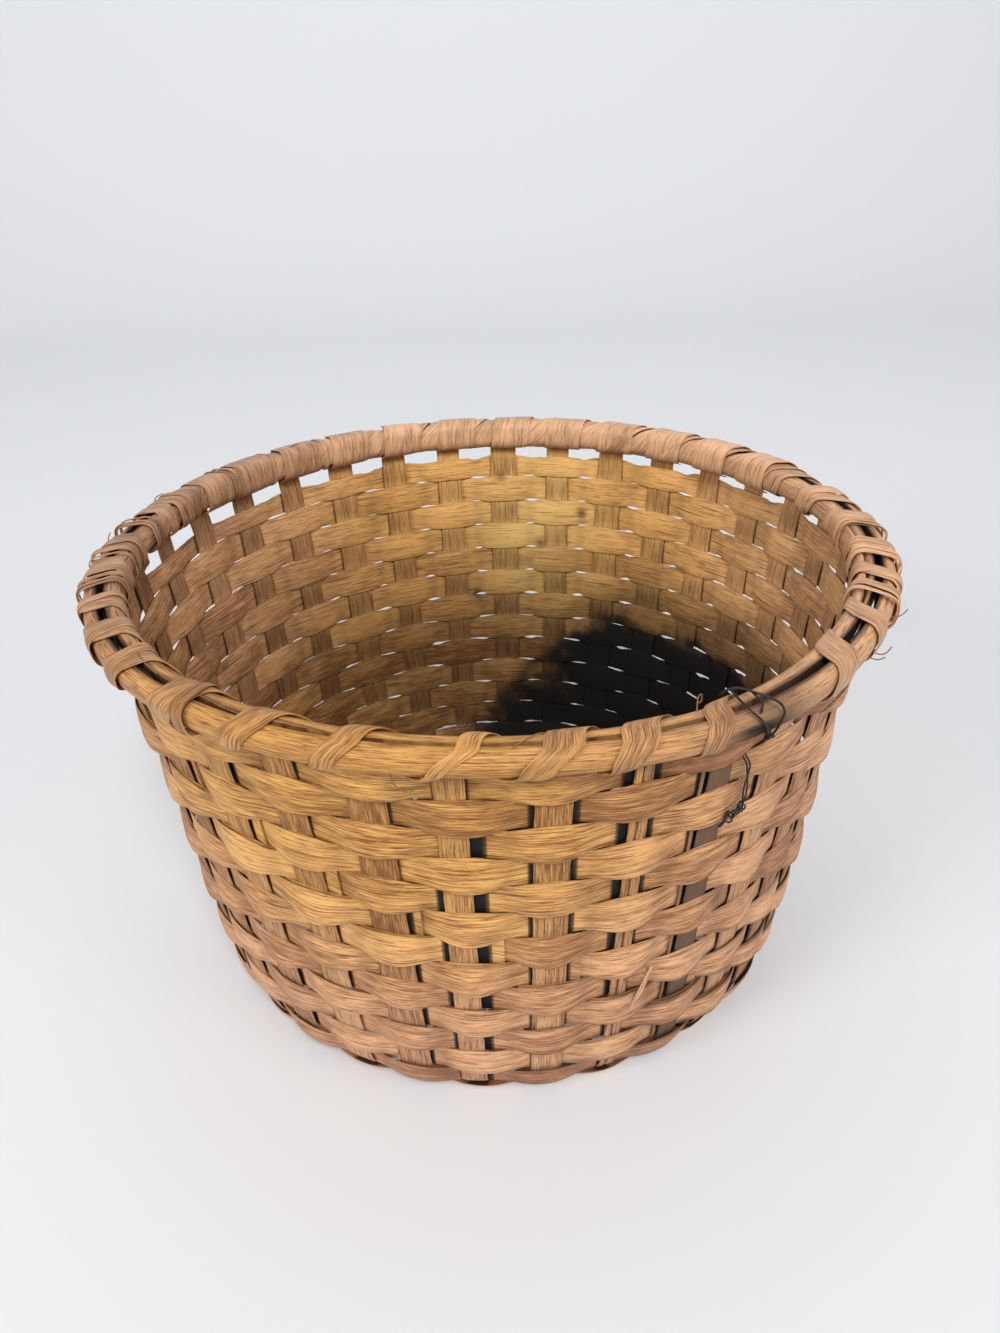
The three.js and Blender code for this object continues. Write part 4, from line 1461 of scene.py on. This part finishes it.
class BASKET_OT_stage(bpy.types.Operator):
    """Set the floor, the lights and the camera"""

    bl_idname = "basket.stage"
    bl_label = "Stage"

    def execute(self, context):
        scene = context.scene
        self.ground(context)
        for lamp in LAMPS:
            self.lamp(scene, *lamp)
        self.world(scene)
        self.camera(scene, scene.basket_view)
        return {"FINISHED"}

    def ground(self, context):
        """A floor that curves up into a backdrop."""
        line = [(-3.0, 0.0), (BEND_START, 0.0)]
        for i in range(1, BEND_STEPS + 1):
            swing = math.radians(90 * i / BEND_STEPS)
            line.append((BEND_START + BEND * math.sin(swing), BEND - BEND * math.cos(swing)))
        line.append((BEND_START + BEND, 3.2))
        vertices = [(x, y, z) for y, z in line for x in (-4.0, 4.0)]
        faces = [(2 * i, 2 * i + 1, 2 * i + 3, 2 * i + 2) for i in range(len(line) - 1)]
        mesh = smooth_mesh("pale_ground", vertices, faces)
        mesh.materials.append(finish_of(context, "pale_ground"))
        ground = bpy.data.objects.new("pale_ground", mesh)
        context.scene.collection.objects.link(ground)

    def lamp(self, scene, name, place, width, watts, target):
        """A soft round lamp."""
        light = bpy.data.lights.new(name, "AREA")
        light.shape = "DISK"
        light.size = width
        light.energy = watts
        lamp = bpy.data.objects.new(name, light)
        lamp.location = place
        lamp.rotation_euler = (Vector(target) - Vector(place)).to_track_quat("-Z", "Y").to_euler()
        scene.collection.objects.link(lamp)

    def world(self, scene):
        """Even light from all round. The camera sees it as the backdrop's white."""
        scene.world = bpy.data.worlds.new("even_light")
        finish = Finish(scene.world)
        even = finish.node("ShaderNodeBackground", values={"Color": (1, 1, 1), "Strength": EVEN_LIGHT})
        seen = finish.node("ShaderNodeBackground", values={"Color": (0.98, 0.99, 1), "Strength": SEEN_LIGHT})
        camera = finish.node("ShaderNodeLightPath", output="Is Camera Ray")
        mixed = finish.node("ShaderNodeMixShader", values={0: camera, 1: even, 2: seen})
        finish.node("ShaderNodeOutputWorld", values={"Surface": mixed})

    def camera(self, scene, view):
        """A camera at the view's place, turned, tilted down and rolled."""
        level = math.cos(view.pitch)
        right = Vector((math.cos(view.yaw), math.sin(view.yaw), 0))
        ahead = Vector((-math.sin(view.yaw) * level, math.cos(view.yaw) * level, -math.sin(view.pitch)))
        up = right.cross(ahead)
        rolled_right = right * math.cos(view.roll) + up * math.sin(view.roll)
        rolled_up = up * math.cos(view.roll) - right * math.sin(view.roll)
        turn = Matrix((rolled_right, rolled_up, -ahead)).transposed().to_4x4()
        lens = bpy.data.cameras.new("camera")
        lens.sensor_fit = "VERTICAL"
        lens.sensor_height = 36
        lens.lens = view.focal
        lens.clip_start = 0.01
        camera = bpy.data.objects.new("camera", lens)
        camera.matrix_world = Matrix.Translation(Vector(view.place)) @ turn
        scene.collection.objects.link(camera)
        scene.camera = camera
        scene.view_settings.view_transform = "Standard"


class BASKET_PT_panel(bpy.types.Panel):
    """Sizes, colours and steps of the basket"""

    bl_label = "Splint Basket"
    bl_idname = "BASKET_PT_panel"
    bl_space_type = "VIEW_3D"
    bl_region_type = "UI"
    bl_category = "Basket"

    def draw(self, context):
        scene = context.scene
        for group in (scene.basket_sizes, scene.basket_colours, scene.basket_view):
            box = self.layout.box()
            for name in group.__annotations__:
                box.prop(group, name)
        for operator in STEPS:
            self.layout.operator(operator.bl_idname)


GROUPS = (BasketSizes, BasketColours, CameraView)
STEPS = (
    BASKET_OT_stage,
    BASKET_OT_stakes,
    BASKET_OT_odd_stake,
    BASKET_OT_weavers,
    BASKET_OT_hoops,
    BASKET_OT_lashing,
    BASKET_OT_extra_wraps,
    BASKET_OT_wires,
    BASKET_OT_fibres,
)


def register():
    for item in (*GROUPS, *STEPS, BASKET_PT_panel):
        bpy.utils.register_class(item)
    bpy.types.Scene.basket_sizes = PointerProperty(type=BasketSizes)
    bpy.types.Scene.basket_colours = PointerProperty(type=BasketColours)
    bpy.types.Scene.basket_view = PointerProperty(type=CameraView)


def unregister():
    del bpy.types.Scene.basket_view
    del bpy.types.Scene.basket_colours
    del bpy.types.Scene.basket_sizes
    for item in (BASKET_PT_panel, *reversed(STEPS), *reversed(GROUPS)):
        bpy.utils.unregister_class(item)


def main():
    register()
    bpy.ops.basket.stage()
    bpy.ops.basket.stakes()
    bpy.ops.basket.odd_stake()
    bpy.ops.basket.weavers()
    bpy.ops.basket.hoops()
    bpy.ops.basket.lashing()
    bpy.ops.basket.extra_wraps()
    bpy.ops.basket.wires()
    bpy.ops.basket.fibres()


if __name__ == "__main__":
    main()
